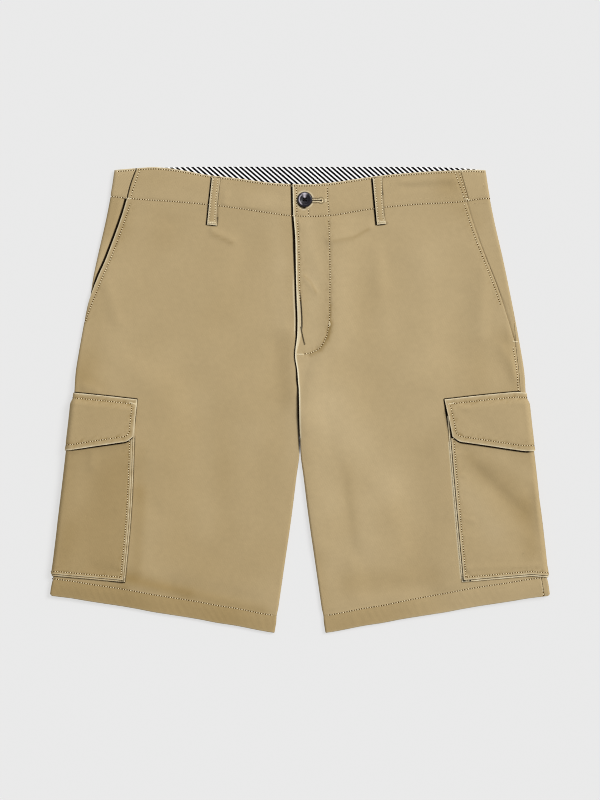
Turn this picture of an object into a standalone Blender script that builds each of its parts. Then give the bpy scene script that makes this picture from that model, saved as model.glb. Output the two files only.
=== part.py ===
"""Men's cargo shorts in cotton twill, lying flat on their back with the waist towards +Y.

The garment is a flattened tube. Its body form is the outer face of the leg cloth: the back lies on
the floor, the front BODY_DEPTH above it, and round folds join them at the sides and inner legs.
Every piece of cloth is a grid of points on that form, moved out by the layers below it, with a
second grid under it for its other side. +X is the wearer's left. Sizes are in millimetres until
the last step, which turns them into metres.
"""

import math

import bmesh
import bpy
import numpy as np

MM = 0.001
FRONT, BACK = 1, -1
LEFT, RIGHT = 1, -1

# Walls of the cloth, and what lies on what
CLOTH = 1.2  # leg panels
BAND = 1.5  # waistband, two cloths and their stiffening
TRIM = 1.0  # pockets, flaps, gussets, loops and facings
GAP = 0.3  # between neighbouring pieces
BODY_DEPTH = 5.4  # from the back's outer face to the front's
FOLD_RADIUS = BODY_DEPTH / 2
BAND_OUT = 0.3  # the waistband stands this far out from the panels
GUSSET_OUT = GAP + TRIM
POCKET_OUT = GUSSET_OUT + GAP + TRIM
FLAP_OUT = POCKET_OUT + GAP + TRIM
LOOP_OUT = BAND_OUT + GAP + TRIM
HEM_DEPTH = 18.0
HEM_WALL = 2.3  # the leg cloth and its turned-up hem
LAP_HEIGHT = BAND + GAP  # the left front lies this far above the right one at the fly
CROTCH_Y = -46.0


def table(names, *rows):
    """A short table as a dictionary of its named columns; its rows are in rising order of the first."""
    return dict(zip(names.split(), np.array(rows, float).T))


def ease(share):
    """0 below 0, 1 above 1, and a smooth step between."""
    share = np.clip(share, 0.0, 1.0)
    return share * share * (3 - 2 * share)


def read(tab, at):
    """The second column of a table at a place in its first, on a smooth curve through the rows."""
    keys, values = list(tab.values())[:2]
    slopes = np.gradient(values, keys)
    at = np.clip(at, keys[0], keys[-1])
    low = np.clip(np.searchsorted(keys, at, side="right") - 1, 0, len(keys) - 2)
    step = keys[low + 1] - keys[low]
    share = (at - keys[low]) / step
    rise = values[low + 1] - values[low]
    bend_in = slopes[low] * step - rise
    bend_out = rise - slopes[low + 1] * step
    curve = share * (1 - share) * (bend_in * (1 - share) + bend_out * share)
    return values[low] + share * rise + curve


# ---- Outlines seen from above -------------------------------------------------------------------

SIDE_FOLD = table(
    "y      half_width",
    (-232, 291.6),
    (-204, 286.7),
    (-130, 277.4),
    (-61, 269.2),
    (8, 261.4),
    (30, 259.9),
    (59, 255.4),
    (78, 252.0),
    (126, 242.9),
    (163, 235.6),
    (210, 224.9),
    (234, 220.2),
    (266, 215.3),
    (274, 214.4),
)
WAIST_TOP_FRONT = table(
    "x      y",
    (-215, 266.2),
    (-190, 266.4),
    (-160, 267.2),
    (-140, 264.5),
    (-109, 259.8),
    (-72, 255.6),
    (-40, 251.2),
    (-11, 249.1),
    (18, 249.1),
    (47, 252.0),
    (70, 255.6),
    (100, 259.5),
    (135, 262.5),
    (173, 264.6),
    (199, 266.1),
    (215, 266.2),
)
WAIST_SEAM_FRONT = table(
    "x      y",
    (-222, 235.0),
    (-190, 232.6),
    (-140, 229.2),
    (-100, 224.9),
    (-70, 220.8),
    (-40, 216.3),
    (-11, 212.5),
    (18, 211.7),
    (40, 213.3),
    (70, 218.4),
    (100, 223.4),
    (135, 227.0),
    (190, 230.4),
    (212, 232.1),
    (222, 232.4),
)
WAIST_TOP_BACK = table(
    "x      y",
    (-215, 266.2),
    (-190, 268.3),
    (-160, 269.6),
    (-120, 269.9),
    (0, 270.0),
    (120, 269.9),
    (160, 269.6),
    (190, 268.3),
    (215, 266.2),
)
WAIST_SEAM_BACK = table(
    "x      y",
    (-222, 235.0),
    (0, 232.5),
    (222, 232.4),
)
HEM = table(
    "x      y",
    (28, -271.0),
    (32, -270.5),
    (116, -254.7),
    (162, -247.4),
    (285, -227.4),
    (296, -225.8),
)
# The two fronts' edges towards the centre, from the fly down the inner leg
FRONT_EDGE = {
    LEFT: table(
        "y      x",
        (-276, 30.4),
        (-264, 28.8),
        (-186, 17.9),
        (-93, 5.8),
        (-60, 0.6),
        (-46, 0.15),
        (-19, -1.3),
        (9, -2.4),
        (25, -4.2),
        (46, -7.0),
        (62, -5.8),
        (93, -4.1),
        (137, -5.0),
        (197, -7.9),
        (215, -8.8),
    ),
    RIGHT: table(
        "y      x",
        (-276, 30.4),
        (-264, 28.8),
        (-186, 17.9),
        (-93, 5.8),
        (-60, 0.6),
        (-46, 0.15),
        (-35, 0.8),
        (-25, 1.4),
        (-12, 0.4),
        (9, -1.1),
        (25, -0.8),
        (46, 1.0),
        (62, -3.2),
        (93, -4.9),
        (137, -4.0),
        (215, -0.4),
    ),
}
BACK_EDGE = table(
    "y      x",
    (-276, 30.4),
    (-264, 28.8),
    (-186, 17.9),
    (-93, 5.8),
    (-60, 0.6),
    (-46, 0.15),
    (-30, 0.15),
    (235, 0.15),
)
# The roll of the cloth towards the inner leg: flat above the crotch, a quarter turn below it
INNER_ROLL = table(
    "y      radius",
    (-276, 2.7),
    (-110, 2.7),
    (-60, 1.6),
    (-46, 1.2),
    (-30, 3.0),
    (60, 4.0),
)
# From the side fold to the side seam: the left seam shows in front, the right one lies behind
SIDE_SEAM = {
    LEFT: table("y  in_front", (-232, 9.0), (-60, 6.5), (67, 6.0), (240, 6.0)),
    RIGHT: table("y  in_front", (-232, -8.0), (240, -8.0)),
}
SEAM_POCKET_END = 67.0  # height at which the slant pocket runs into the side seam
POCKET_SLANT = {
    LEFT: table(
        "y      x",
        (67, 249.1),
        (115, 234.3),
        (132, 228.5),
        (164, 215.8),
        (198, 203.0),
        (220, 196.0),
        (236, 191.0),
    ),
    RIGHT: table(
        "y      x",
        (67, 263.1),
        (97, 253.0),
        (127, 243.9),
        (141, 237.9),
        (165, 227.0),
        (189, 216.9),
        (230, 204.2),
        (240, 201.5),
    ),
}
# Where the front and back waistbands join, above the slant pockets
BAND_JOIN = {
    LEFT: table("y  x", (230, 196.3), (266, 186.0)),
    RIGHT: table("y  x", (232, 201.3), (267, 190.0)),
}
CARGO_EDGE = {
    LEFT: table("y  x", (-212, 190.0), (-126, 182.1), (-46, 175.2), (0, 171.5)),
    RIGHT: table("y  x", (-212, 205.4), (-132, 198.0), (-47, 194.3), (0, 192.5)),
}
FLAP_EDGE = {
    LEFT: table("y  x", (-62, 178.5), (-42, 175.2), (0, 166.1), (12, 163.5)),
    RIGHT: table("y  x", (-62, 194.6), (-47, 193.4), (0, 188.6), (12, 187.4)),
}
CARGO_WIDTH = 158.0
FLAP_WIDTH = 170.0
CARGO_MOUTH_Y = -17.0
CARGO_BOTTOM = table("from_middle  y", (0, -202.5), (79, -209.5), (90, -210.5))
FLAP_TOP = table("from_middle  y", (0, 9.5), (45, 5.0), (85, 0.4))
FLAP_BOTTOM = table("from_middle  y", (0, -60.5), (77, -49.0), (79, -48.0), (85, -43.0))
GUSSET_SHOWS = 1.8  # the gusset stands out from under the pocket's edge
GUSSET_WIDTH = 10.8

# Belt loops: their middle at the top and at the bottom
LOOP_WIDTH = 12.0
LOOP_ARCH = 1.2  # the front loops stand off the waistband in the middle
LOOPS = (
    ("belt_loop_front_left", FRONT, (89.0, 257.6), (94.1, 203.4)),
    ("belt_loop_front_right", FRONT, (-96.6, 257.4), (-102.4, 202.4)),
    ("belt_loop_back_left", BACK, (122.0, 268.6), (125.0, 205.0)),
    ("belt_loop_back_centre", BACK, (0.0, 268.8), (0.0, 205.0)),
    ("belt_loop_back_right", BACK, (-122.0, 268.6), (-125.0, 205.0)),
)
BACK_LOOPS_X = (-123.5, 0.0, 123.5)

BUTTON_AT = (5.7, 231.3)
BUTTON_RADIUS = 8.8
BUTTON_THICK = 2.6
BUTTONHOLE = (4.0, 25.5)  # its two ends along X
BUTTONHOLE_WIDTH = 1.8
UNDERLAP_END = 22.0
ZIP_X = (-6.0, 22.0)
ZIP_TAPE = 0.8
SLIDER_AT = (9.0, 198.0)

# The largest folds of the front: soft ridges and troughs along a line
FRONT_FOLDS = table(
    "x0   y0    x1    y1    reach  height",
    (-175, -95, -150, -150, 30, -0.4),
    (-30, 50, -26, -25, 22, -0.5),
    (44, 170, 46, 80, 24, 0.5),
    (46, 80, 14, -20, 24, 0.6),
    (50, -12, 100, -130, 26, 0.6),
)

# Colours (sRGB) of each material
TWILL = "B5A079"
STRIPED_COTTON = "94908B"
ZIP_COTTON = "A8946B"
HORN_NAVY = "25242C"
BRASS = "8E8268"


# ---- The body form ------------------------------------------------------------------------------


def common_rise(x, y):
    """How far front and back are lifted by the layers of the cargo pockets and the waistband."""
    beside = ease((np.abs(x) - read(SIDE_FOLD, y) + 158) / 62)
    above = 1 - ease((y - 10) / 58)
    pocket = ease((y + 250) / 38) * above
    flap = ease((y + 92) / 28) * above
    band = ease((y - 212) / 14)
    return beside * (pocket * POCKET_OUT + flap * (FLAP_OUT - POCKET_OUT)) + band * BAND_OUT


def loop_rise(x, y):
    """How far the back is lifted over the belt loops that it lies on."""
    nearest = np.min([np.abs(x - at) for at in BACK_LOOPS_X], axis=0)
    over_loop = (1 - ease((nearest - 11) / 20)) * ease((y - 175) / 24)
    return over_loop * (LOOP_OUT - BAND_OUT * ease((y - 212) / 14))


def front_relief(x, y):
    """The soft ridges and troughs of the front, none at the folds and the waistband."""
    total = np.zeros(np.broadcast(x, y).shape)
    for x0, y0, x1, y1, reach, height in zip(*FRONT_FOLDS.values()):
        along_x, along_y = x1 - x0, y1 - y0
        share = ((x - x0) * along_x + (y - y0) * along_y) / (along_x**2 + along_y**2)
        share = np.clip(share, 0, 1)
        away = np.hypot(x - x0 - share * along_x, y - y0 - share * along_y)
        total = total + height * np.exp(-((away / reach) ** 2))
    beside = ease((read(SIDE_FOLD, y) - 60 - np.abs(x)) / 40)
    return total * beside * ease((205 - y) / 30) * ease((y + 215) / 30)


def back_face(x, y):
    return common_rise(x, y) + loop_rise(x, y)


def front_face(x, y):
    return common_rise(x, y) + BODY_DEPTH + front_relief(x, y)


def lap(x, y):
    """How far the left front stands above the right one round the fly and the centre seam."""
    height = np.interp(y, (-44, -27, 0, 60), (0, CLOTH + GAP + 0.1, CLOTH + GAP + 0.1, LAP_HEIGHT))
    full = np.interp(y, (30, 60), (6, 24))
    gone = np.interp(y, (30, 60), (44, 70))
    return height * (1 - ease((x - full) / (gone - full)))


def roll_depth(y):
    """0 above the crotch, where the edges lie flat, and 1 below it, where they roll to the seam."""
    return ease((CROTCH_Y + 5 - y) / 5)


def lay(face, spread, y, out, inner=None):
    """Points of the body form, moved out from it by out.

    spread is the distance from the centre line along the cloth: past a side fold it goes on round
    it to the other face. inner is (leg, edge) for a leg panel, whose edge rolls to the inner seam.
    """
    side = np.where(spread < 0, -1.0, 1.0)
    flat_end = read(SIDE_FOLD, y) - FOLD_RADIUS
    over = np.abs(spread) - flat_end
    angle = np.clip(math.pi / 2 - over / FOLD_RADIUS, -math.pi / 2, math.pi / 2)
    beyond = np.maximum(over - math.pi * FOLD_RADIUS, 0)
    plan_x = side * (np.minimum(np.abs(spread), flat_end) - beyond)
    x = plan_x + side * (FOLD_RADIUS + out) * np.cos(angle)
    top, bottom = front_face(plan_x, y), back_face(plan_x, y)
    middle, depth = (top + bottom) / 2, (top - bottom) / 2
    height = (depth + out) * np.sin(angle)
    if inner is not None:
        leg, edge = inner
        radius = np.interp(y, INNER_ROLL["y"], INNER_ROLL["radius"])
        turn = np.clip((edge + radius - leg * spread) / radius, 0, math.pi / 2)
        deep = roll_depth(y)
        slant = deep * np.sin(turn)
        rolled_x = leg * (edge + radius - radius * np.sin(turn) - out * slant)
        rolled_height = depth * (1 - deep + deep * np.cos(turn)) + out * np.sqrt(1 - slant**2)
        x = np.where(turn > 0, rolled_x, x)
        height = np.where(turn > 0, rolled_height, height)
    return np.stack([x, y + 0 * x, middle + face * height], axis=-1)


def fold_spread(y):
    """The spread of the side fold's outermost line."""
    return read(SIDE_FOLD, y) + (math.pi / 2 - 1) * FOLD_RADIUS


def across(columns, anchors):
    """Spreads at the columns: 0 at the first anchor, 1 at the second, and so on."""
    low = np.clip(np.floor(columns).astype(int), 0, len(anchors) - 2)
    anchors = np.array(anchors)
    place = np.arange(len(columns))
    start, end = anchors[low, place], anchors[low + 1, place]
    return start + (columns - low) * (end - start)


# ---- Solids -------------------------------------------------------------------------------------


def principled(name, colour, roughness, metallic=0.0):
    """A material of one colour, given as sRGB hexadecimal."""
    material = bpy.data.materials.get(name) or bpy.data.materials.new(name)
    material.use_nodes = True
    shares = [int(colour[i : i + 2], 16) / 255 for i in (0, 2, 4)]
    linear = [s / 12.92 if s <= 0.04045 else ((s + 0.055) / 1.055) ** 2.4 for s in shares]
    shader = material.node_tree.nodes["Principled BSDF"]
    shader.inputs["Base Color"].default_value = (*linear, 1.0)
    shader.inputs["Roughness"].default_value = roughness
    shader.inputs["Metallic"].default_value = metallic
    material.diffuse_color = (*linear, 1.0)
    return material


def new_object(name, points, faces, material):
    """A mesh object from points in millimetres, with its faces turned outwards."""
    mesh = bpy.data.meshes.new(name)
    mesh.from_pydata((np.array(points) * MM).tolist(), [], faces)
    editable = bmesh.new()
    editable.from_mesh(mesh)
    bmesh.ops.recalc_face_normals(editable, faces=editable.faces)
    editable.to_mesh(mesh)
    editable.free()
    mesh.materials.append(material)
    made = bpy.data.objects.new(name, mesh)
    bpy.context.scene.collection.objects.link(made)
    return made


def wall(name, outer, inner, material):
    """A closed wall between two grids of points with as many rows and columns."""
    rows, columns = outer.shape[:2]
    number = np.arange(rows * columns).reshape(rows, columns)
    under = number + rows * columns
    faces = []
    for r in range(rows - 1):
        for c in range(columns - 1):
            quad = (number[r, c], number[r, c + 1], number[r + 1, c + 1], number[r + 1, c])
            faces.append(quad)
            faces.append(tuple(under.flat[i] for i in reversed(quad)))
    rim = [*number[0], *number[1:, -1], *number[-1, -2::-1], *number[-2:0:-1, 0]]
    for a, b in zip(rim, rim[1:] + rim[:1]):
        faces.append((a, b, under.flat[b], under.flat[a]))
    points = np.concatenate([outer.reshape(-1, 3), inner.reshape(-1, 3)])
    return new_object(name, points, [tuple(int(i) for i in face) for face in faces], material)


def sheet(name, face, columns, anchors, rows, out, walls, inner_edge=None, leg=LEFT, material=None):
    """One piece of cloth on the body form.

    columns are places between the anchors, which depend on y; rows are functions from x to y; out is
    a number or a function of x, y and spread; walls is one thickness or one for each row.
    """
    columns = np.array(columns, float)
    walls = np.broadcast_to(walls, len(rows))
    outer, inner = [], []
    for row, thick in zip(rows, walls):
        y = row(leg * columns * 0 + leg * 100.0)
        for _ in range(6):
            spread = leg * across(columns, anchors(y))
            edge = None if inner_edge is None else (leg, read(inner_edge, y))
            points = lay(face, spread, y, 0.0, edge)
            y = row(points[:, 0])
        level = out(points[:, 0], y, leg * spread) if callable(out) else out
        outer.append(lay(face, spread, y, level + 0 * y, edge))
        inner.append(lay(face, spread, y, level - thick + 0 * y, edge))
    return wall(name, np.array(outer), np.array(inner), material or twill())


def level_row(height):
    """A row at one height all along."""
    return lambda x: height + 0 * x


def line_row(line, shift=0.0, sided=True):
    """A row that follows a line's table, moved by shift."""
    return lambda x: read(line, x if sided else np.abs(x)) + shift


def twill():
    return principled("cotton_twill", TWILL, 0.85)


# ---- Legs ---------------------------------------------------------------------------------------

PANEL_HEIGHTS = (195, 160, 127, 97, 67, 40, 12, -12, -30, -40, -46, -62, -90, -120, -160, -200)
CROSSING_HEIGHTS = (141, 134, 119, 112, 104, 90, 82, 75)  # where the right slant goes round the fold
INNER_STEPS = (0, 0.34, 0.67)
ARC_STEPS = tuple(step / 6 for step in range(1, 7))
WAIST_STEPS = {FRONT: (15, 40, 70, 100, 130, 160), BACK: (11, 31, 62, 92, 113, 134, 155, 185)}


def panel_rows(face, leg):
    seam = WAIST_SEAM_FRONT if face == FRONT else WAIST_SEAM_BACK
    heights = PANEL_HEIGHTS
    if (face, leg) == (FRONT, RIGHT):
        heights = sorted(PANEL_HEIGHTS + CROSSING_HEIGHTS, reverse=True)
    rows = [line_row(seam, -GAP / 2)]
    rows += [level_row(height) for height in heights]
    rows += [line_row(HEM, HEM_DEPTH + 0.5, False), line_row(HEM, HEM_DEPTH, False)]
    return rows + [line_row(HEM, 0.0, False)]


def leg_panel(name, face, leg):
    """A front or a back, from the centre edge to the side seam, with its hem turned up."""
    edges = FRONT_EDGE[leg] if face == FRONT else BACK_EDGE
    wraps = SIDE_SEAM[leg]["in_front"][0] * face < 0

    def anchors(y):
        edge = read(edges, y)
        radius = np.interp(y, INNER_ROLL["y"], INNER_ROLL["radius"])
        outer = fold_spread(y) - face * read(SIDE_SEAM[leg], y) - GAP / 2
        if face == FRONT:
            slant = read(POCKET_SLANT[leg], y) + 400 * (y < SEAM_POCKET_END)
            outer = np.minimum(outer, slant)
        arc_start = read(SIDE_FOLD, y) - FOLD_RADIUS
        arc_end = arc_start + math.pi * FOLD_RADIUS
        start = np.minimum(arc_start, outer - 6)
        end = np.minimum(arc_end, start + (outer - start) * 0.9) if wraps else outer
        flat_start = edge + radius
        seam_start = flat_start - radius * math.pi / 2 + GAP / 2
        return [seam_start, flat_start, start, end, outer]

    waist_y = np.array([read(WAIST_SEAM_FRONT if face == FRONT else WAIST_SEAM_BACK, leg * 100.0)])
    _, flat_start, start, _, _ = (float(a[0]) for a in anchors(waist_y))
    flats = [1 + (x - flat_start) / (start - flat_start) for x in WAIST_STEPS[face]]
    columns = [*INNER_STEPS, 1, *flats, 2]
    columns += [*(2 + step for step in ARC_STEPS), 4] if wraps else [3]
    rows = panel_rows(face, leg)
    walls = [CLOTH] * (len(rows) - 2) + [HEM_WALL] * 2
    out = (lambda x, y, spread: lap(x, y)) if (face, leg) == (FRONT, LEFT) else 0.0
    return sheet(name, face, columns, anchors, rows, out, walls, edges, leg)


def hip_facing(name, leg):
    """The cloth seen in the slant pocket, from under the front to the side seam."""

    def anchors(y):
        seam = fold_spread(y) - read(SIDE_SEAM[leg], y) - GAP / 2
        slant = np.minimum(read(POCKET_SLANT[leg], y), seam - 2.5)
        return [slant - 22, slant, seam]

    def out(x, y, spread):
        shown = spread - read(POCKET_SLANT[leg], y)
        return -(CLOTH + GAP) * (1 - ease((shown - 1) / 7))

    heights = (195, 160, 127, 97, 67, 61)
    columns = (0, 0.95, 1.15, 1.4, 2)
    if leg == RIGHT:
        heights = sorted(heights + CROSSING_HEIGHTS, reverse=True)
        columns = (0, 0.5, 0.95, 1.08, 1.2, 1.35, 1.5, 1.7, 1.85, 2)
    rows = [line_row(WAIST_SEAM_FRONT, -GAP / 2)]
    rows += [level_row(height) for height in heights]
    return sheet(name, FRONT, columns, anchors, rows, out, TRIM, None, leg)


# ---- Waistband ----------------------------------------------------------------------------------

BAND_SHARES = (0.0, 0.5, 1.0)
FACING_HALF = 205.0
FACING_CLEAR = 2.0  # the facing starts this far above the waistband's seam


def band_row(share):
    """A row of the front waistband: share is 0 at its seam and 1 at its top edge."""
    return lambda x: (read(WAIST_SEAM_FRONT, x) + GAP / 2) * (1 - share) + read(WAIST_TOP_FRONT, x) * share


def waistband_front(name, leg):
    """From the end at the fly to the join above the slant pocket."""

    def anchors(y):
        end = -UNDERLAP_END if leg == RIGHT else -8.9 - (y - 212) * 0.027
        return [end + 0 * y, read(BAND_JOIN[leg], y) - GAP / 2]

    start, end = (float(a[0]) for a in anchors(np.array([220.0])))
    steps = (0, *WAIST_STEPS[FRONT], *((145, 178) if leg == RIGHT else ()))
    columns = [0, *sorted((x - start) / (end - start) for x in steps), 1]

    def out(x, y, spread):
        return BAND_OUT + (lap(x, y) if leg == LEFT else 0 * x)

    rows = [band_row(share) for share in BAND_SHARES]
    return sheet(name, FRONT, columns, anchors, rows, out, BAND, None, leg)


def whole_round(name, columns_at, rows, out, thick, material):
    """A piece that crosses the back from side to side; columns_at gives its spreads at y."""
    outer, inner = [], []
    for row in rows:
        y = np.full(len(columns_at(250.0)), 250.0)
        for _ in range(6):
            spread = columns_at(y)
            points = lay(BACK, spread, y, 0.0)
            y = row(points[:, 0], np.abs(spread) > fold_spread(y))
        outer.append(lay(BACK, spread, y, out + 0 * y))
        inner.append(lay(BACK, spread, y, out - thick + 0 * y))
    return wall(name, np.array(outer), np.array(inner), material)


def waistband_back(name):
    """Across the back, round both side folds and on to the joins at the front."""
    flats = np.array(WAIST_STEPS[BACK], float)
    turn = np.array((0, *ARC_STEPS)) * math.pi * FOLD_RADIUS
    half = len(flats) + len(turn) + 1

    def one_side(leg, y):
        spreads = np.empty(half)
        spreads[: len(flats)] = flats
        spreads[len(flats) : -1] = read(SIDE_FOLD, y[len(flats) : -1]) - FOLD_RADIUS + turn
        spreads[-1] = 2 * fold_spread(y[-1]) - read(BAND_JOIN[leg], y[-1]) - GAP / 2
        return leg * spreads

    def columns_at(y):
        y = np.broadcast_to(y, 2 * half + 1)
        left, right = one_side(LEFT, y[half + 1 :]), one_side(RIGHT, y[half - 1 :: -1])
        return np.concatenate([right[::-1], [0.0], left])

    def row(share):
        def height(x, in_front):
            seam = np.where(in_front, read(WAIST_SEAM_FRONT, x), read(WAIST_SEAM_BACK, x))
            top = np.where(in_front, read(WAIST_TOP_FRONT, x), read(WAIST_TOP_BACK, x))
            return (seam + GAP / 2) * (1 - share) + top * share

        return height

    rows = [row(share) for share in BAND_SHARES]
    return whole_round(name, columns_at, rows, BAND_OUT, BAND, twill())


def waistband_facing(name):
    """The striped cloth inside the back waistband, which shows above the front's dip."""
    reach = np.array((0, *WAIST_STEPS[BACK], FACING_HALF), float)
    columns = np.concatenate([-reach[:0:-1], reach])

    def row(share):
        def height(x, in_front):
            low = read(WAIST_SEAM_BACK, x) + FACING_CLEAR
            return low * (1 - share) + read(WAIST_TOP_BACK, x) * share

        return height

    out = BAND_OUT - BAND - GAP
    material = principled("striped_cotton", STRIPED_COTTON, 0.8)
    rows = [row(share) for share in BAND_SHARES]
    return whole_round(name, lambda y: columns, rows, out, TRIM, material)


# ---- Cargo pockets ------------------------------------------------------------------------------


def cargo_anchors(edge, width):
    """The front edge, the two ends of the side fold, and the back edge."""

    def anchors(y):
        start = read(SIDE_FOLD, y) - FOLD_RADIUS
        first = read(edge, y)
        return [first, start, start + math.pi * FOLD_RADIUS, first + width]

    return anchors


def from_middle(line, edge, width, shift=0.0):
    """A row given by its distance from the middle of a flap or pocket, along the cloth."""

    def height(x, y, spread):
        return read(line, np.abs(spread - read(edge, y) - width / 2)) + shift

    return height


def cargo_grid(face_out, thick, leg, edge, width, columns, rows):
    """Outer and inner points of a piece that wraps the side fold; rows are functions of the spread."""
    columns = np.array(columns, float)
    grids = ([], [])
    for index, row in enumerate(rows):
        y = np.full(len(columns), -100.0)
        for _ in range(6):
            spread = across(columns, cargo_anchors(edge, width)(y))
            y = row(0 * y, y, spread) if callable(row) else np.full(len(columns), float(row))
        level = np.broadcast_to(face_out, len(rows))[index]
        for grid, out in zip(grids, (level, level - thick)):
            grid.append(lay(FRONT, leg * spread, y, out + 0 * y))
    return np.array(grids[0]), np.array(grids[1])


CARGO_HEIGHTS = (-30, -46, -62, -90, -120, -160, -192)
WRAP_COLUMNS = (0, 0.12, 0.5, 1, *(1 + step for step in ARC_STEPS), 2.5, 2.88, 3)


def cargo_pocket(name, leg):
    edge = CARGO_EDGE[leg]
    bottom = from_middle(CARGO_BOTTOM, edge, CARGO_WIDTH)
    rows = [CARGO_MOUTH_Y, *CARGO_HEIGHTS, bottom]
    outer, inner = cargo_grid(POCKET_OUT, TRIM, leg, edge, CARGO_WIDTH, WRAP_COLUMNS, rows)
    return wall(name, outer, inner, twill())


def cargo_flap(name, leg):
    """Sewn down along its top edge, above the pocket's mouth, and free below."""
    edge = FLAP_EDGE[leg]
    top = [from_middle(FLAP_TOP, edge, FLAP_WIDTH, -drop) for drop in (0.0, 5.0, 14.0)]
    bottom = from_middle(FLAP_BOTTOM, edge, FLAP_WIDTH)
    rows = [*top, -30, bottom]
    levels = [GUSSET_OUT, GUSSET_OUT, FLAP_OUT, FLAP_OUT, FLAP_OUT]
    columns = (0, 0.08, 0.5, 1, *(1 + step for step in ARC_STEPS), 2.5, 2.92, 3)
    outer, inner = cargo_grid(levels, TRIM, leg, edge, FLAP_WIDTH, columns, rows)
    return wall(name, outer, inner, twill())


def gusset_line(leg, inset):
    """Spreads and heights of a line along the pocket's three sewn edges, moved inwards by inset."""
    edge = CARGO_EDGE[leg]
    bottom = from_middle(CARGO_BOTTOM, edge, CARGO_WIDTH)
    wrapped = cargo_anchors(edge, CARGO_WIDTH)

    def on_bottom(spread_at):
        y = np.array([-200.0])
        for _ in range(6):
            y = bottom(0 * y, y, spread_at(y)) + inset
        return float(spread_at(y)[0]), float(y[0])

    front = [(float(read(edge, y)) + inset, float(y)) for y in (CARGO_MOUTH_Y - 2, *CARGO_HEIGHTS)]
    front.append(on_bottom(lambda y: read(edge, y) + inset))
    below = [
        on_bottom(lambda y, place=column: across(np.array([place]), wrapped(y)))
        for column in WRAP_COLUMNS[2:-2]
    ]
    back = [(2 * float(read(edge, y)) + CARGO_WIDTH - spread, y) for spread, y in front]
    return np.array([*front, *below, *back[::-1]]).T


def cargo_gusset(name, leg):
    """A strip under the pocket's front, lower and back edges, standing out from under them."""
    grids = []
    for out in (GUSSET_OUT, GUSSET_OUT - TRIM):
        lines = [gusset_line(leg, inset) for inset in (-GUSSET_SHOWS, GUSSET_WIDTH - GUSSET_SHOWS)]
        grids.append(np.array([lay(FRONT, leg * spread, y, out + 0 * y) for spread, y in lines]))
    return wall(name, grids[0], grids[1], twill())


# ---- Belt loops ---------------------------------------------------------------------------------


def belt_loop(name, face, top, bottom):
    """A strip tacked down at both ends; the front ones stand off the waistband between them."""
    steps = np.array((0, 0.1, 0.25, 0.5, 0.75, 0.9, 1.0))
    arch = LOOP_ARCH if face == FRONT else 0.0
    along = np.array(bottom) - np.array(top)
    sideways = np.array((-along[1], along[0])) / np.hypot(*along) * LOOP_WIDTH / 2
    grids = []
    for thick in (0.0, TRIM):
        lines = []
        for step in steps:
            ends = [np.array(top) + along * step + sideways * sign for sign in (-1, 0, 1)]
            x, y = np.array(ends).T
            stand = arch * math.sin(math.pi * step)
            middle = np.full(3, x[1])
            level = lay(face, middle, np.full(3, y[1]), LOOP_OUT + stand - thick + 0 * x)[:, 2]
            lines.append(np.stack([x, y, level], axis=-1))
        grids.append(np.array(lines))
    return wall(name, grids[0], grids[1], twill())


# ---- Closure ------------------------------------------------------------------------------------


def box_points(low, high):
    """The eight corners and six faces of a box."""
    corners = [(x, y, z) for x in (low[0], high[0]) for y in (low[1], high[1]) for z in (low[2], high[2])]
    faces = [(0, 1, 3, 2), (4, 6, 7, 5), (0, 4, 5, 1), (2, 3, 7, 6), (0, 2, 6, 4), (1, 5, 7, 3)]
    return corners, faces


def round_post(name, centre, radius, low, high, sides, material):
    """An upright prism with many sides."""
    angles = [2 * math.pi * side / sides for side in range(sides)]
    ring = [(centre[0] + radius * math.cos(a), centre[1] + radius * math.sin(a)) for a in angles]
    points = [(x, y, z) for z in (low, high) for x, y in ring]
    faces = [tuple(range(sides)), tuple(range(sides, 2 * sides))]
    faces += [(i, (i + 1) % sides, (i + 1) % sides + sides, i + sides) for i in range(sides)]
    return new_object(name, points, faces, material)


def combine(target, tools, operation):
    """Apply a Boolean of each tool to the target and drop the tools."""
    for tool in tools:
        modifier = target.modifiers.new(tool.name, "BOOLEAN")
        modifier.operation = operation
        modifier.object = tool
    bpy.context.view_layer.update()
    evaluated = target.evaluated_get(bpy.context.evaluated_depsgraph_get())
    mesh = bpy.data.meshes.new_from_object(evaluated)
    target.modifiers.clear()
    target.data = mesh
    for tool in tools:
        bpy.data.objects.remove(tool)


def buttonhole(band):
    """A slot through the left waistband, long enough for the button to pass."""
    middle = BUTTON_AT[1]
    low = (BUTTONHOLE[0], middle - BUTTONHOLE_WIDTH / 2, 0.0)
    high = (BUTTONHOLE[1], middle + BUTTONHOLE_WIDTH / 2, 20.0)
    slot = new_object("slot", *box_points(low, high), twill())
    combine(band, [slot], "DIFFERENCE")


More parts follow.
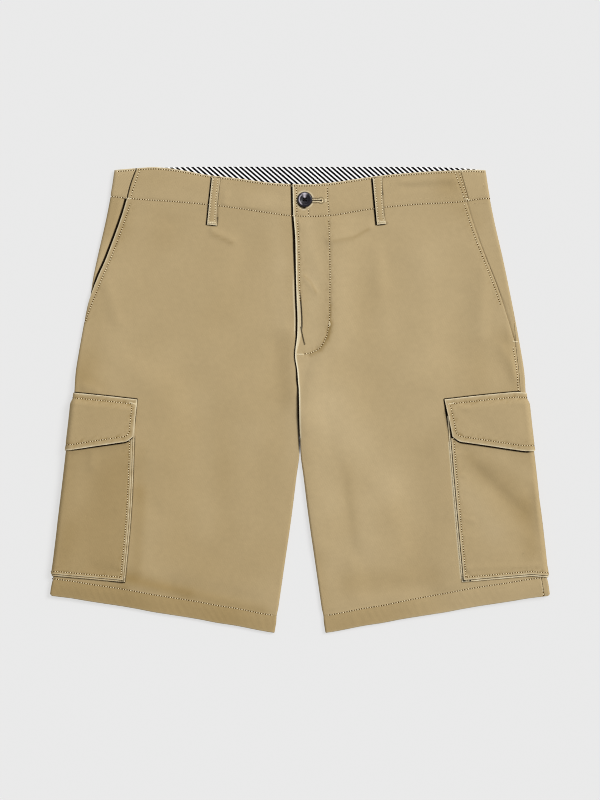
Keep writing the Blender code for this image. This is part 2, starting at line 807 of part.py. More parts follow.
def waist_button(name):
    """A four-hole button with a raised rim, on a thread shank through the buttonhole."""
    material = principled("navy_horn", HORN_NAVY, 0.25)
    x, y = BUTTON_AT
    face = float(front_face(x, y))
    seat = face + LAP_HEIGHT + BAND_OUT + GAP
    profile = (
        (0.0, 1.5),
        (5.4, 1.5),
        (6.4, BUTTON_THICK),
        (8.0, BUTTON_THICK),
        (BUTTON_RADIUS, 1.7),
        (BUTTON_RADIUS, 0.9),
        (7.2, 0.0),
        (0.0, 0.0),
    )
    sides = 20
    points, rings = [], []
    for radius, height in profile:
        if radius == 0:
            rings.append([len(points)] * sides)
            points.append((x, y, seat + height))
            continue
        rings.append(list(range(len(points), len(points) + sides)))
        for side in range(sides):
            angle = 2 * math.pi * side / sides
            points.append((x + radius * math.cos(angle), y + radius * math.sin(angle), seat + height))
    faces = []
    for upper, lower in zip(rings, rings[1:]):
        for i in range(sides):
            j = (i + 1) % sides
            quad = (upper[i], upper[j], lower[j], lower[i])
            faces.append(tuple(dict.fromkeys(quad)))
    button = new_object(name, points, faces, material)
    holes = [
        round_post(f"hole_{i}", (x + dx, y + dy), 0.9, seat - 1, seat + 4, 8, material)
        for i, (dx, dy) in enumerate(((1.8, 1.8), (-1.8, 1.8), (-1.8, -1.8), (1.8, -1.8)))
    ]
    combine(button, holes, "DIFFERENCE")
    shank_low = face + BAND_OUT + GAP
    shank = new_object(
        "shank",
        *box_points((x - 0.9, y - 0.55, shank_low), (x + 0.9, y + 0.55, seat + 0.8)),
        material,
    )
    combine(button, [shank], "UNION")
    return button


def zip_tape(name):
    """The closed zip's two tapes and its chain as one strip, under the fly."""
    chain = (7.0, 11.0)
    columns = (ZIP_X[0], 0.0, chain[0], chain[1], ZIP_X[1])
    heights = (208, 195, 160, 127, 97, 67, 58)
    grids = []
    for depth in (0.0, ZIP_TAPE):
        lines = [
            lay(FRONT, np.array(columns), np.full(5, float(y)), np.full(5, -CLOTH - GAP - depth))
            for y in heights
        ]
        grids.append(np.array(lines))
    return wall(name, grids[0], grids[1], principled("zip_cotton", ZIP_COTTON, 0.8))


def zip_slider(name):
    """The slider's body at the top of the chain, with its pull tab lying flat below it."""
    material = principled("brass", BRASS, 0.35, 1.0)
    x, y = SLIDER_AT
    low = float(np.max(front_face(x, np.array((y - 28, y, y + 6))))) - CLOTH
    body = new_object(name, *box_points((x - 3.6, y - 5.5, low), (x + 3.6, y + 5.5, low + 1.4)), material)
    tab = new_object("tab", *box_points((x - 2.4, y - 27, low), (x + 2.4, y - 4, low + 0.8)), material)
    combine(body, [tab], "UNION")
    return body


def clear_scene():
    for thing in list(bpy.data.objects):
        bpy.data.objects.remove(thing)


def build():
    clear_scene()
    leg_panel("front_left", FRONT, LEFT)
    leg_panel("front_right", FRONT, RIGHT)
    leg_panel("back_left", BACK, LEFT)
    leg_panel("back_right", BACK, RIGHT)
    buttonhole(waistband_front("waistband_front_left", LEFT))
    waistband_front("waistband_front_right", RIGHT)
    waistband_back("waistband_back")
    waistband_facing("waistband_facing_back")
    for side, leg in (("left", LEFT), ("right", RIGHT)):
        hip_facing(f"hip_facing_{side}", leg)
        cargo_gusset(f"cargo_gusset_{side}", leg)
        cargo_pocket(f"cargo_pocket_{side}", leg)
        cargo_flap(f"cargo_flap_{side}", leg)
    for loop in LOOPS:
        belt_loop(*loop)
    waist_button("waist_button")
    zip_tape("fly_zip_tape")
    zip_slider("fly_zip_slider")


build()
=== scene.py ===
"""Men's cargo shorts in khaki cotton twill, laid flat on their back with the fly up.

+X is the wearer's left and the waist points to +Y. Sizes are in millimetres until the last step of
each piece, which turns them into metres.
"""

import math

import bpy
import numpy as np
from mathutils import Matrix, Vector
from mathutils.bvhtree import BVHTree


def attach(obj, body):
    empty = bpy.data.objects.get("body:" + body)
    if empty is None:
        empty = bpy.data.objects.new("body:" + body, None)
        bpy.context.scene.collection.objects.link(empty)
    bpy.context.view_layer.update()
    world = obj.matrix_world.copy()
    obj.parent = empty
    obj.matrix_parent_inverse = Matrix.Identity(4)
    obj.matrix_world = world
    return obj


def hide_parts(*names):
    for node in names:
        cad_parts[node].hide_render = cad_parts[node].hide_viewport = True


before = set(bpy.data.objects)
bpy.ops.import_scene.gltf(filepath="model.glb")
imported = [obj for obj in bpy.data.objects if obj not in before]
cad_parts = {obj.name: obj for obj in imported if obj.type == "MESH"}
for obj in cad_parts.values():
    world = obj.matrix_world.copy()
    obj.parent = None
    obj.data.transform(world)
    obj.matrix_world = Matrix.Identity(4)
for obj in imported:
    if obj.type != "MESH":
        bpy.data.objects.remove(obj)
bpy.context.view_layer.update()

# ---- Leg backs and fronts -----------------------------------------------------------------------
# Each leg is a front and a back of washed khaki cotton twill, a millimetre thick and limp. They are
# sewn together down the side and the inner leg and turned up at the hem with one row of stitches.
# Lying flat, they close on soft round folds, and the cloth keeps the shallow creases of wear.

MM = 0.001
FRONT, BACK = 1, -1
LEFT, RIGHT = 1, -1
SIDE = {LEFT: "left", RIGHT: "right"}
CLOTH = 1.2  # leg cloth with its nap
TRIM = 1.0  # pockets, flaps, gussets, loops and facings
BAND = 1.5  # waistband
GAP = 0.3  # between two layers that aren't sewn down
BODY_DEPTH = 5.4  # from the back's outer face to the front's
FOLD_RADIUS = BODY_DEPTH / 2
# How far each layer's outer face stands out from the body
BAND_OUT = 0.3
GUSSET_OUT = GAP + TRIM
POCKET_OUT = GUSSET_OUT + GAP + TRIM
FLAP_OUT = POCKET_OUT + GAP + TRIM
LOOP_OUT = BAND_OUT + GAP + TRIM
HEM_DEPTH = 20.6
HEM_WALL = 2.3
LAP_HEIGHT = BAND + GAP  # the left front lies this far above the right one at the fly
CROTCH_Y = -46.0


def table(names, *rows):
    """A short table as a dictionary of its named columns."""
    return dict(zip(names.split(), np.array(rows, float).T))


SIDE_FOLD = table(
    "y  half_width",
    (-232, 291.6), (-204, 286.7), (-130, 277.4), (-61, 269.2), (8, 261.8), (30, 260.4), (59, 256.0),
    (78, 252.6), (126, 243.3), (163, 235.6), (210, 224.9), (234, 220.2), (266, 215.3), (274, 214.4),
)
WAIST_SEAM_FRONT = table(
    "x  y",
    (-222, 235.0), (-190, 231.8), (-140, 228.4), (-100, 224.6), (-70, 220.8), (-40, 216.3),
    (-11, 212.5), (18, 211.7), (40, 213.3), (70, 218.4), (100, 222.4), (135, 225.6), (190, 229.0),
    (212, 232.1), (222, 232.4),
)
WAIST_SEAM_BACK = table(
    "x  y",
    (-222, 235.0), (0, 232.5), (222, 232.4),
)
HEM = table(
    "x  y",
    (28, -271.0), (32, -270.5), (78, -262.0), (96, -259.3), (115, -255.6), (152, -249.6),
    (170, -246.8), (189, -243.1), (208, -239.8), (226, -237.1), (245, -234.2), (265, -230.8),
    (284, -228.4), (288, -227.8), (291, -226.0), (296, -223.0),
)
INNER_LEG = (
    (-276, 29.8), (-264, 28.2), (-209, 20.4), (-180, 16.2), (-151, 11.9), (-122, 8.0), (-93, 4.5),
    (-60, 0.4),
)
# The edges towards the centre, from the hem up the inner leg and the fly
FRONT_EDGE = {
    LEFT: table(
        "y  x",
        *INNER_LEG, (-46, -0.1), (-36, -0.4), (-19, -0.9), (1, -1.2), (12, -1.5), (20, -2.3),
        (30, -2.9), (38, -3.9), (48, -5.6), (57, -5.5), (66, -4.3), (75, -3.3), (85, -3.0), (94, -3.0),
        (113, -3.8), (131, -4.4), (150, -4.8), (168, -5.1), (187, -5.5), (196, -6.1), (205, -6.9),
        (215, -7.7),
    ),
    RIGHT: table(
        "y  x",
        *INNER_LEG, (-46, 0.15), (-35, 0.8), (-25, 1.4), (-12, 0.4), (9, -1.1), (25, -0.8), (46, 1.0),
        (62, -3.2), (93, -4.9), (137, -4.0), (215, -0.4),
    ),
}
BACK_EDGE = table(
    "y  x",
    *INNER_LEG, (-46, 0.15), (-30, 0.15), (235, 0.15),
)
INNER_ROLL = table(
    "y  radius",
    (-276, 2.7), (-110, 2.7), (-60, 1.6), (-46, 1.2), (-30, 3.0), (60, 4.0),
)
# From the side fold to the side seam: the left seam shows in front, the right one lies behind
SIDE_SEAM = {
    LEFT: table("y  in_front", (-232, 9.0), (-60, 6.5), (67, 6.0), (100, 2.0), (140, -1.5), (240, -1.5)),
    RIGHT: table("y  in_front", (-232, -8.0), (240, -8.0)),
}
SEAM_POCKET_END = 67.0
POCKET_SLANT = {
    LEFT: table(
        "y  x",
        (67, 249.1), (115, 234.3), (132, 228.5), (164, 215.8), (198, 203.0), (220, 196.0),
        (236, 191.0),
    ),
    RIGHT: table(
        "y  x",
        (67, 263.1), (97, 252.4), (127, 240.8), (147, 232.6), (160, 226.7), (177, 220.0), (189, 215.5),
        (200, 211.5), (213, 207.0), (230, 201.8), (236, 200.1),
    ),
}
BACK_LOOPS_X = (-123.5, 0.0, 123.5)

# The largest folds of the front, and the creases that wear has left in it: soft ridges (height
# above 0) and troughs along a line, with their reach to its left and right, seen from its start
FRONT_FOLDS = table(
    "x0   y0    x1    y1    reach  height",
    (-175, -95, -150, -150, 30, -0.4),
    (-30, 50, -26, -25, 22, -0.5),
    (44, 170, 46, 80, 24, 0.5),
    (46, 80, 14, -20, 24, 0.6),
    (50, -12, 100, -130, 26, 0.6),
)
CREASES = table(
    "x0   y0    x1    y1    left  right  height",
    # from the fly's stitching down the left thigh
    (42, 195, 45, 115, 26, 10, 1.5),
    (45, 115, 42, 75, 26, 10, 1.8),
    (42, 75, 21, 32, 26, 11, 2.0),
    (21, 32, 8, -14, 26, 10, 2.0),
    (8, -14, 12, -60, 26, 9, 1.9),
    (12, -60, 24, -165, 26, 9, 1.6),
    (44, -6, 64, -90, 30, 12, 0.9),
    (64, -90, 74, -163, 30, 9, 1.4),
    # right front, beside the fly
    (-12, 75, -7, -6, 9, 15, 1.2),
    (-26, 66, -22, -2, 14, 12, -1.0),
    # thighs and knees
    (-132, 23, -123, -30, 16, 14, -0.8),
    (-178, -104, -170, -130, 12, 12, -0.8),
    (-110, -35, -85, -180, 16, 26, -0.5),
    (110, 60, 120, -60, 34, 30, 1.4),
    (-110, 120, -90, 20, 36, 30, 1.0),
    (100, -100, 118, -170, 12, 16, 0.9),
    (140, -80, 150, -200, 30, 24, -1.0),
    (90, 150, 96, 90, 12, 18, 0.8),
    (140, 160, 150, 70, 14, 20, 0.9),
    (186, 120, 180, 50, 14, 14, -0.9),
    (-215, 60, -150, -5, 14, 16, 0.7),
    (-60, 180, -75, 120, 16, 12, -0.7),
    # small ones from the seams
    (36, 184, 60, 189, 7, 4, 1.3),
    (60, 189, 80, 200, 7, 4, 1.3),
    (89, 173, 93, 127, 8, 9, 0.9),
    (212, 150, 210, 75, 8, 10, 1.1),
    (235, 57, 252, 28, 7, 8, 1.3),
    (243, 80, 250, 30, 5, 7, 0.8),
    (-224, 133, -213, 92, 8, 7, 1.0),
    (-101, 194, -78, 184, 5, 4, 1.2),
    (174, 214, 190, 222, 4, 5, 0.9),
    (176, 208, 188, 214, 4, 4, -0.6),
    (-261, 19, -235, 10, 5, 6, 1.1),
    (60, -190, 66, -225, 12, 12, 1.1),
    (110, -215, 150, -222, 10, 10, -0.8),
    (-150, -212, -60, -232, 9, 9, -1.0),
    (-240, -196, -150, -214, 7, 7, -0.8),
    (4.6, 142, 18.6, 124, 3.0, 3.6, 0.6),
    (2, 205, 20, 150, 9, 9, 0.6),
    (-150, 205, -130, 214, 9, 7, -0.7),
)
# How much darker (above 0) or paler the fronts are coloured: partly uneven garment dyeing, partly
# painted shade and painted light along creases and stitching, at the hem and over broad areas
DYE_AND_SHADE = table(
    "x0   y0    x1    y1    left  right  depth",
    (45, 153, 46, 66, 16, 8, -0.05),
    (8, 34, 24, -35, 30, 22, -0.10),
    (39, -6, 104, -100, 24, 24, -0.09),
    (24, -79, 39, -122, 14, 12, -0.06),
    (75, -122, 80, -180, 14, 14, -0.06),
    (150, 150, 160, 60, 45, 40, -0.035),
    (75, 131, 79, 73, 16, 16, 0.05),
    (54, -79, 61, -151, 8, 8, 0.05),
    (112, -137, 133, -180, 22, 20, 0.06),
    (155, -64, 162, -180, 24, 26, 0.04),
    (-150, -40, -130, -190, 60, 50, 0.09),
    (-70, -60, -70, -190, 50, 50, 0.07),
    (39, 183.5, 62, 187.5, 2.0, 2.0, 0.16),
    (62, 187.5, 79, 197.5, 2.0, 2.0, 0.18),
    (-101, 192, -79, 181.5, 1.8, 1.8, 0.14),
    (5, 143, 12, 137, 1.2, 1.2, 0.2),
    (12, 137, 18.6, 124, 1.2, 1.2, 0.2),
    (35.4, 108, 34.4, 88, 2.0, 1.4, 0.3),
    (34.4, 88, 31.4, 72, 2.0, 1.4, 0.4),
    (31.4, 72, 23, 58, 2.0, 1.4, 0.1),
    (-212, 264, -218, 200, 18, 18, 0.2),
    (-196, 256, -60, 246, 14, 14, 0.06),
    (172, 250, 212, 252, 18, 18, 0.2),
    (18, 140, 12, 70, 12, 12, -0.07),
    (-185, -60, -188, -110, 8, 10, 0.08),
    (-250, 40, -256, 12, 22, 20, 0.16),
    (238, 66, 252, 8, 14, 20, 0.15),
    (204, 60, 210, 4, 12, 24, 0.08),
    (-112, -6, -110, -150, 16, 20, -0.08),
    (-3, -12, -6, -62, 10, 14, -0.1),
    (-64, -40, -64, -130, 20, 20, -0.06),
    (-185, -108, -190, -200, 7, 12, 0.18),
    (-285, -212, -205, -221, 6, 7, 0.3),
    (14, -188, 20, -240, 14, 14, 0.16),
    (60, -214, 152, -206, 16, 16, 0.14),
    (-22, 150, -20, 80, 14, 14, -0.08),
    (36.0, 88, 32.0, 69.6, 2.8, 2.8, 0.34),
    (32.0, 69.6, 23.6, 57.6, 3.0, 3.0, 0.34),
    (23.6, 57.6, 12.8, 51.8, 2.6, 2.6, 0.3),
    (-99, 160, -91, 80, 40, 36, 0.025),
    (-22, 73, -15, 1, 12, 14, 0.07),
    (-258, -194, -45, -246, 9, 9, 0.2),
    (-200, -208, -130, -225, 7, 7, 0.14),
    (-233, 124, -244, 37, 12, 14, 0.05),
    (-258, 30, -229, 15, 8, 8, 0.09),
    (10, 204, 12, 139, 12, 12, -0.08),
    (17, 110, 17, 80, 12, 12, -0.04),
    (-30, 204, -22, 160, 9, 10, -0.07),
    (-164, 218, -157, 189, 18, 18, 0.06),
    (181, 225, 206, 204, 10, 10, 0.07),
    (-91, 247, -26, 226, 10, 10, -0.04),
    (230, 60, 240, 20, 12, 10, -0.05),
)
BACK_CREASES = table(
    "x0   y0    x1    y1    left  right  height",
    (-60, 150, -80, 60, 18, 22, 0.5),
    (70, 120, 90, 30, 20, 18, 0.4),
    (-50, -60, -60, -150, 16, 22, 0.5),
    (80, -80, 70, -170, 22, 18, 0.4),
    (150, 40, 160, -40, 16, 16, 0.3),
    (-160, 90, -150, 20, 16, 16, 0.3),
)


def ease(share):
    """0 below 0, 1 above 1, and a smooth step between."""
    share = np.clip(share, 0.0, 1.0)
    return share * share * (3 - 2 * share)


def read(tab, at):
    """The second column of a table at a place in its first, on a smooth curve through the rows."""
    keys, values = list(tab.values())[:2]
    slopes = np.gradient(values, keys)
    at = np.clip(at, keys[0], keys[-1])
    low = np.clip(np.searchsorted(keys, at, side="right") - 1, 0, len(keys) - 2)
    step = keys[low + 1] - keys[low]
    share = (at - keys[low]) / step
    rise = values[low + 1] - values[low]
    bend_in = slopes[low] * step - rise
    bend_out = rise - slopes[low + 1] * step
    curve = share * (1 - share) * (bend_in * (1 - share) + bend_out * share)
    return values[low] + share * rise + curve


def ruled(tab, at):
    """The same, on straight lines between the rows."""
    return np.interp(at, *tab.values())


def from_line(x, y, x0, y0, x1, y1):
    """Distance from a line's nearest point, and how far to the line's left."""
    along_x, along_y = x1 - x0, y1 - y0
    share = ((x - x0) * along_x + (y - y0) * along_y) / (along_x**2 + along_y**2)
    share = np.clip(share, 0, 1)
    off_x, off_y = x - x0 - share * along_x, y - y0 - share * along_y
    return np.hypot(off_x, off_y), (along_x * off_y - along_y * off_x) / math.hypot(along_x, along_y)


def creased(x, y, creases):
    """The height of a table's ridges and troughs together; a row can go on from the one before."""
    total, run, end = 0.0, np.zeros(np.broadcast(x, y).shape), None
    for x0, y0, x1, y1, left, right, height in zip(*creases.values()):
        away, side = from_line(x, y, x0, y0, x1, y1)
        reach = right + (left - right) * ease(0.5 + side / (left + right))
        swell = height * np.exp(-((away / reach) ** 2))
        if (x0, y0) == end:
            run = np.sign(height) * (run**6 + swell**6) ** (1 / 6)
        else:
            total, run = total + run, swell
        end = (x1, y1)
    return total + run


def swells(x, y, size, seed):
    """An uneven surface between about -1 and 1, with swells about size across."""
    chance = np.random.default_rng(seed)
    total = 0.0
    for _ in range(7):
        angle, phase = chance.uniform(0, 2 * math.pi, 2)
        length = size * chance.uniform(0.7, 1.7)
        total = total + np.sin((x * math.cos(angle) + y * math.sin(angle)) * 2 * math.pi / length + phase)
    return total / 3.5


def through(*points, step=1.0):
    """A smooth run of points, step apart, through a few."""
    x, y = np.array(points, float).T
    reach = np.append(0, np.cumsum(np.hypot(np.diff(x), np.diff(y))))
    at = np.append(np.arange(0, reach[-1], step), reach[-1])
    return np.stack([read({"at": reach, "x": x}, at), read({"at": reach, "y": y}, at)], axis=-1)


def beside(tab, start, end, shift=0.0, leg=LEFT):
    """A run of points along an upright line's table, shift further out from the middle."""
    y = np.linspace(start, end, int(abs(end - start)) + 2)
    return np.stack([leg * (read(tab, y) + shift), y], axis=-1)


def above(tab, start, end, shift=0.0):
    """A run of points along a level line's table, shift above it."""
    x = np.linspace(start, end, int(abs(end - start)) + 2)
    return np.stack([x, read(tab, np.abs(x) if tab is HEM else x) + shift], axis=-1)


def pulled_in(x, y, rows, deep=0.4):
    """How stitched rows sink into the cloth and pucker it on both sides."""
    nearest = np.full(np.broadcast(x, y).shape, 99.0)
    for row in rows:
        coarse = np.vstack([row[:-1:4], row[-1:]])
        for (x0, y0), (x1, y1) in zip(coarse[:-1], coarse[1:]):
            nearest = np.minimum(nearest, from_line(x, y, x0, y0, x1, y1)[0])
    uneven = 0.75 + 0.35 * swells(x, y, 11, 21)
    puckers = 0.16 * swells(x, y, 7.5, 22) * np.exp(-((nearest / 5.5) ** 2))
    return puckers - deep * uneven * np.exp(-((nearest / 1.3) ** 2))


def common_rise(x, y):
    """How far front and back are lifted by the layers of the cargo pockets and the waistband."""
    at_side = ease((np.abs(x) - read(SIDE_FOLD, y) + 158) / 62)
    below_flap_top = 1 - ease((y - 10) / 58)
    pocket = ease((y + 250) / 38) * below_flap_top
    flap = ease((y + 92) / 28) * below_flap_top
    band = ease((y - 212) / 14)
    return at_side * (pocket * POCKET_OUT + flap * (FLAP_OUT - POCKET_OUT)) + band * BAND_OUT


def loop_rise(x, y):
    """How far the back is lifted over the belt loops that it lies on."""
    nearest = np.min([np.abs(x - at) for at in BACK_LOOPS_X], axis=0)
    over_loop = (1 - ease((nearest - 11) / 20)) * ease((y - 175) / 24)
    return over_loop * (LOOP_OUT - BAND_OUT * ease((y - 212) / 14))


def front_relief(x, y):
    """The front's large folds, which end before the side folds, its creases and its unevenness."""
    total = np.zeros(np.broadcast(x, y).shape)
    for x0, y0, x1, y1, reach, height in zip(*FRONT_FOLDS.values()):
        away, _ = from_line(x, y, x0, y0, x1, y1)
        total = total + height * np.exp(-((away / reach) ** 2))
    before_side = ease((read(SIDE_FOLD, y) - 60 - np.abs(x)) / 40)
    total = total * before_side * ease((205 - y) / 30) * ease((y + 215) / 30)
    inside = ease((read(SIDE_FOLD, y) - 4 - np.abs(x)) / 10)
    worn_in = creased(x, y, CREASES) + 0.16 * swells(x, y, 46, 3) + 0.05 * swells(x, y, 15, 4)
    return total + worn_in * inside * ease((216 - y) / 12)


def back_face(x, y):
    inside = ease((read(SIDE_FOLD, y) - 20 - np.abs(x)) / 20) * ease((200 - y) / 20)
    return common_rise(x, y) + loop_rise(x, y) + creased(x, y, BACK_CREASES) * inside


def front_face(x, y):
    return common_rise(x, y) + BODY_DEPTH + front_relief(x, y)


def lap(x, y):
    """How far the left front stands above the right one round the fly and the centre seam."""
    height = np.interp(y, (-44, -27, 0, 60), (0, CLOTH + GAP + 0.1, CLOTH + GAP + 0.1, LAP_HEIGHT))
    full = np.interp(y, (30, 60), (6, 24))
    gone = np.interp(y, (30, 60), (44, 70))
    return height * (1 - ease((x - full) / (gone - full)))


def lay(face, spread, y, out, inner=None):
    """Points on the flattened body, moved out from it by out.

    spread is the distance from the centre line along the cloth: past a side fold it goes on round
    it to the other face. inner is (leg, edge) for a leg, whose edge rolls to the inner seam.
    """
    side = np.where(spread < 0, -1.0, 1.0)
    flat_end = read(SIDE_FOLD, y) - FOLD_RADIUS
    over = np.abs(spread) - flat_end
    angle = np.clip(math.pi / 2 - over / FOLD_RADIUS, -math.pi / 2, math.pi / 2)
    beyond = np.maximum(over - math.pi * FOLD_RADIUS, 0)
    plan_x = side * (np.minimum(np.abs(spread), flat_end) - beyond)
    x = plan_x + side * (FOLD_RADIUS + out) * np.cos(angle)
    top, bottom = front_face(plan_x, y), back_face(plan_x, y)
    middle, depth = (top + bottom) / 2, (top - bottom) / 2
    height = (depth + out) * np.sin(angle)
    if inner is not None:
        leg, edge = inner
        radius = ruled(INNER_ROLL, y)
        turn = np.clip((edge + radius - leg * spread) / radius, 0, math.pi / 2)
        deep = ease((CROTCH_Y + 5 - y) / 5)
        slant = deep * np.sin(turn)
        rolled_x = leg * (edge + radius - radius * np.sin(turn) - out * slant)
        rolled_height = depth * (1 - deep + deep * np.cos(turn)) + out * np.sqrt(1 - slant**2)
        x = np.where(turn > 0, rolled_x, x)
        height = np.where(turn > 0, rolled_height, height)
    return np.stack([x, y + 0 * x, middle + face * height], axis=-1)


def fold_spread(y):
    """The spread of the side fold's outermost line."""
    return read(SIDE_FOLD, y) + (math.pi / 2 - 1) * FOLD_RADIUS


def graded(length, widest, *zones):
    """Distances from 0 to length, closer together in the zones (start, end, closest)."""
    fine = np.linspace(0, length, int(length * 20) + 2)
    pitch = np.full(len(fine), float(widest))
    for start, end, closest in zones:
        away = np.maximum(np.maximum(start - fine, fine - end), 0)
        pitch = np.minimum(pitch, closest + 0.35 * away)
    count = np.append(0, np.cumsum(np.diff(fine) * 2 / (pitch[1:] + pitch[:-1])))
    return np.interp(np.linspace(0, count[-1], math.ceil(count[-1]) + 1), count, fine)


def between(steps, first, last, guide=None):
    """Steps from first to last: true to size near both, with the slack taken up in the middle.

    guide is (step, place) of a line between them that the steps keep true to as well.
    """
    if guide is not None:
        at, place = guide
        near = between(np.minimum(steps, at), first, place)
        far = between(np.maximum(steps - at, 0), place, last)
        return np.where(steps <= at, near, far)
    nominal = steps.max()
    keep = min(12.0, nominal / 4)
    slack = last - first - nominal
    return first + steps + slack * ease((steps - keep) / (nominal - 2 * keep))


def plot(face, leg, sides, low, high, across, along, inner_edge=None, upright=None, level=None):
    """A grid over a piece: sides(y) gives its first and last spread, low and high take x and spread.

    upright and level are lines inside the piece that the grid follows: (step, line).
    """
    u, v = np.meshgrid(across, along)

    def rows_at(x, spread):
        guide = None if level is None else (level[0], level[1](x, spread))
        return between(v, low(x, spread), high(x, spread), guide)

    spread = leg * (60.0 + 0 * u)
    y = rows_at(spread, spread)
    for _ in range(7):
        first, last = sides(y)
        guide = None if upright is None else (upright[0], upright[1](y))
        spread = leg * between(u, first, last, guide)
        edge = None if inner_edge is None else (leg, read(inner_edge, y))
        x = lay(face, spread, y, 0.0, edge)[..., 0]
        y = rows_at(x, spread)
    ends = [u, u[0, -1] - u, v, v[-1, 0] - v]
    if edge is not None:
        ends[0] = np.where(y > CROTCH_Y, leg * x - edge[1], 50.0)
    grid = {"face": face, "leg": leg, "spread": spread, "edge": edge, "ends": ends}
    return {**grid, "x": x, "y": y, "u": u, "v": v}


# How an edge of cloth ends: over what distance, how far its outer face drops and its inner face
# rises, in shares of its thickness, and how pale it is: partly wear, partly a painted highlight
EDGES = {
    "fold": (0.6, 0.44, 0.44, 0.9),
    "seam": (0.9, 0.4, 0.0, 0.0),
    "joined": (0.6, 0.05, 0.0, 0.0),
    "tucked": (1.0, 0.0, 0.0, 0.0),
    "pressed": (2.6, 0.5, 0.0, 0.1),
}


def shadow(away, wide, soft, dark=1.0):
    """The painted shade on a place beside the edge that covers it: dark for wide, then fading."""
    return dark * (1 - ease((away - wide) / soft))


def edged(ends, kinds, thick, edge_wear_and_highlight=(1.0, 1.0, 1.0, 1.0)):
    """How far the outer face drops and the inner one rises towards the edges, and their paleness: partly
    wear, partly painted highlight.
    """
    drop = rise = pale = 0.0 * ends[0]
    for away, kind, share in zip(ends, kinds, edge_wear_and_highlight):
        reach, drops, rises, paleness = EDGES[kind]
        round_off = 1 - np.sqrt(1 - np.clip(1 - away / (reach * thick), 0, 1) ** 2)
        drop = np.maximum(drop, round_off * drops * thick)
        rise = np.maximum(rise, round_off * rises * thick)
        pale = np.maximum(pale, share * paleness * np.exp(-np.maximum(away - 0.6, 0) / 0.7))
    return drop, rise, pale


def shell(grid, level, thick, edges, painted_shade=0.0, wear_and_highlight=0.0, edge_wear_and_highlight=0.6, dye_and_shade=0.0):
    """Both faces of a piece of cloth over its grid, level above the body.

    edges are the kinds of the first, last, low and high edge. The other arguments, in order, are the
    painted shade, extra paleness from wear and painted highlight, how far the edges are paled by wear
    and painted highlight, and how much darker the piece is coloured by uneven dyeing and painted shade.
    """
    drop, rise, pale = edged(grid["ends"], edges, thick)
    face, spread, y, edge = (grid[key] for key in ("face", "spread", "y", "edge"))
    outer = lay(face, spread, y, level - drop, edge)
    inner = lay(face, spread, y, level - thick + rise, edge)
    pale = pale * edge_wear_and_highlight * (0.8 + 0.3 * swells(grid["x"], y, 9, 8)) + wear_and_highlight
    return {
        "outer": outer,
        "inner": inner,
        "map": np.stack([spread, y], axis=-1) * MM,
        "wear_and_highlight": np.clip(pale, 0, 1),
        "painted_shade": np.clip(painted_shade + 0 * y, 0, 1),
        "dye_and_shade": dye_and_shade + 0.02 * swells(grid["x"], y, 60, 13) + 0 * y,
        "turned": face * grid["leg"] < 0,
    }


def placed(name, data):
    """A new object in the scene, at the origin."""
    made = bpy.data.objects.new(name, data)
    bpy.context.scene.collection.objects.link(made)
    return made


def sewn(name, shells, material):
    """One object from one or more closed shells, with its map, its paleness from wear and painted
    highlight, its painted shade, and its darker colouring from dyeing and painted shade.
    """
    points, faces, start = [], [], 0
    for part in shells:
        rows, columns = part["outer"].shape[:2]
        number = np.arange(rows * columns).reshape(rows, columns) + start
        under = number + rows * columns
        start += 2 * rows * columns
        quads = np.stack([number[:-1, :-1], number[:-1, 1:], number[1:, 1:], number[1:, :-1]], axis=-1)
        below = np.stack([under[:-1, :-1], under[1:, :-1], under[1:, 1:], under[:-1, 1:]], axis=-1)
        ring = np.concatenate([number[0], number[1:, -1], number[-1, -2::-1], number[-2:0:-1, 0]])
        low = np.concatenate([under[0], under[1:, -1], under[-1, -2::-1], under[-2:0:-1, 0]])
        walls = np.stack([np.roll(ring, -1), ring, low, np.roll(low, -1)], axis=-1)
        made = np.concatenate([quads.reshape(-1, 4), below.reshape(-1, 4), walls])
        faces.append(made[:, ::-1] if part["turned"] else made)
        points += [part["outer"].reshape(-1, 3), part["inner"].reshape(-1, 3)]
    mesh = bpy.data.meshes.new(name)
    places = np.concatenate(points)
    places[:, 2] = np.maximum(places[:, 2], 0)
    mesh.from_pydata(places * MM, [], np.concatenate(faces))
    mesh.shade_smooth()
    corner = np.empty(len(mesh.loops), int)
    mesh.loops.foreach_get("vertex_index", corner)
    places = np.concatenate([part["map"].reshape(-1, 2) for part in shells for _ in (0, 1)])
    mesh.uv_layers.new(name="cloth").data.foreach_set("uv", places[corner].ravel())
    for name_of in ("wear_and_highlight", "painted_shade", "dye_and_shade"):
        values = np.concatenate([part[name_of].ravel() for part in shells for _ in (0, 1)])
        mesh.attributes.new(name_of, "FLOAT", "POINT").data.foreach_set("value", values)
    mesh.materials.append(material)
    return placed(name, mesh)


def linear(colour):
    """An sRGB colour in hexadecimal as the linear colour that a shader takes."""
    shares = [int(colour[i : i + 2], 16) / 255 for i in (0, 2, 4)]
    return (*(s / 12.92 if s <= 0.04045 else ((s + 0.055) / 1.055) ** 2.4 for s in shares), 1.0)


def node(tree, kind, links={}, **settings):
    """Add a node with its settings; links gives its inputs, each a value or another node's output."""
    made = tree.nodes.new(kind)
    for key, value in settings.items():
        setattr(made, key, value)
    for place, value in links.items():
        if isinstance(value, bpy.types.NodeSocket):
            tree.links.new(value, made.inputs[place])
        else:
            made.inputs[place].default_value = value
    return made


def finish(name, roughness, specular):
    """A new material with its shader, as rough and as shiny as asked."""
    material = bpy.data.materials.new(name)
    material.use_nodes = True
    shader = material.node_tree.nodes["Principled BSDF"]
    shader.inputs["Roughness"].default_value = roughness
    shader.inputs["Specular IOR Level"].default_value = specular
    return material, material.node_tree, shader


RIB_MM = 1.3


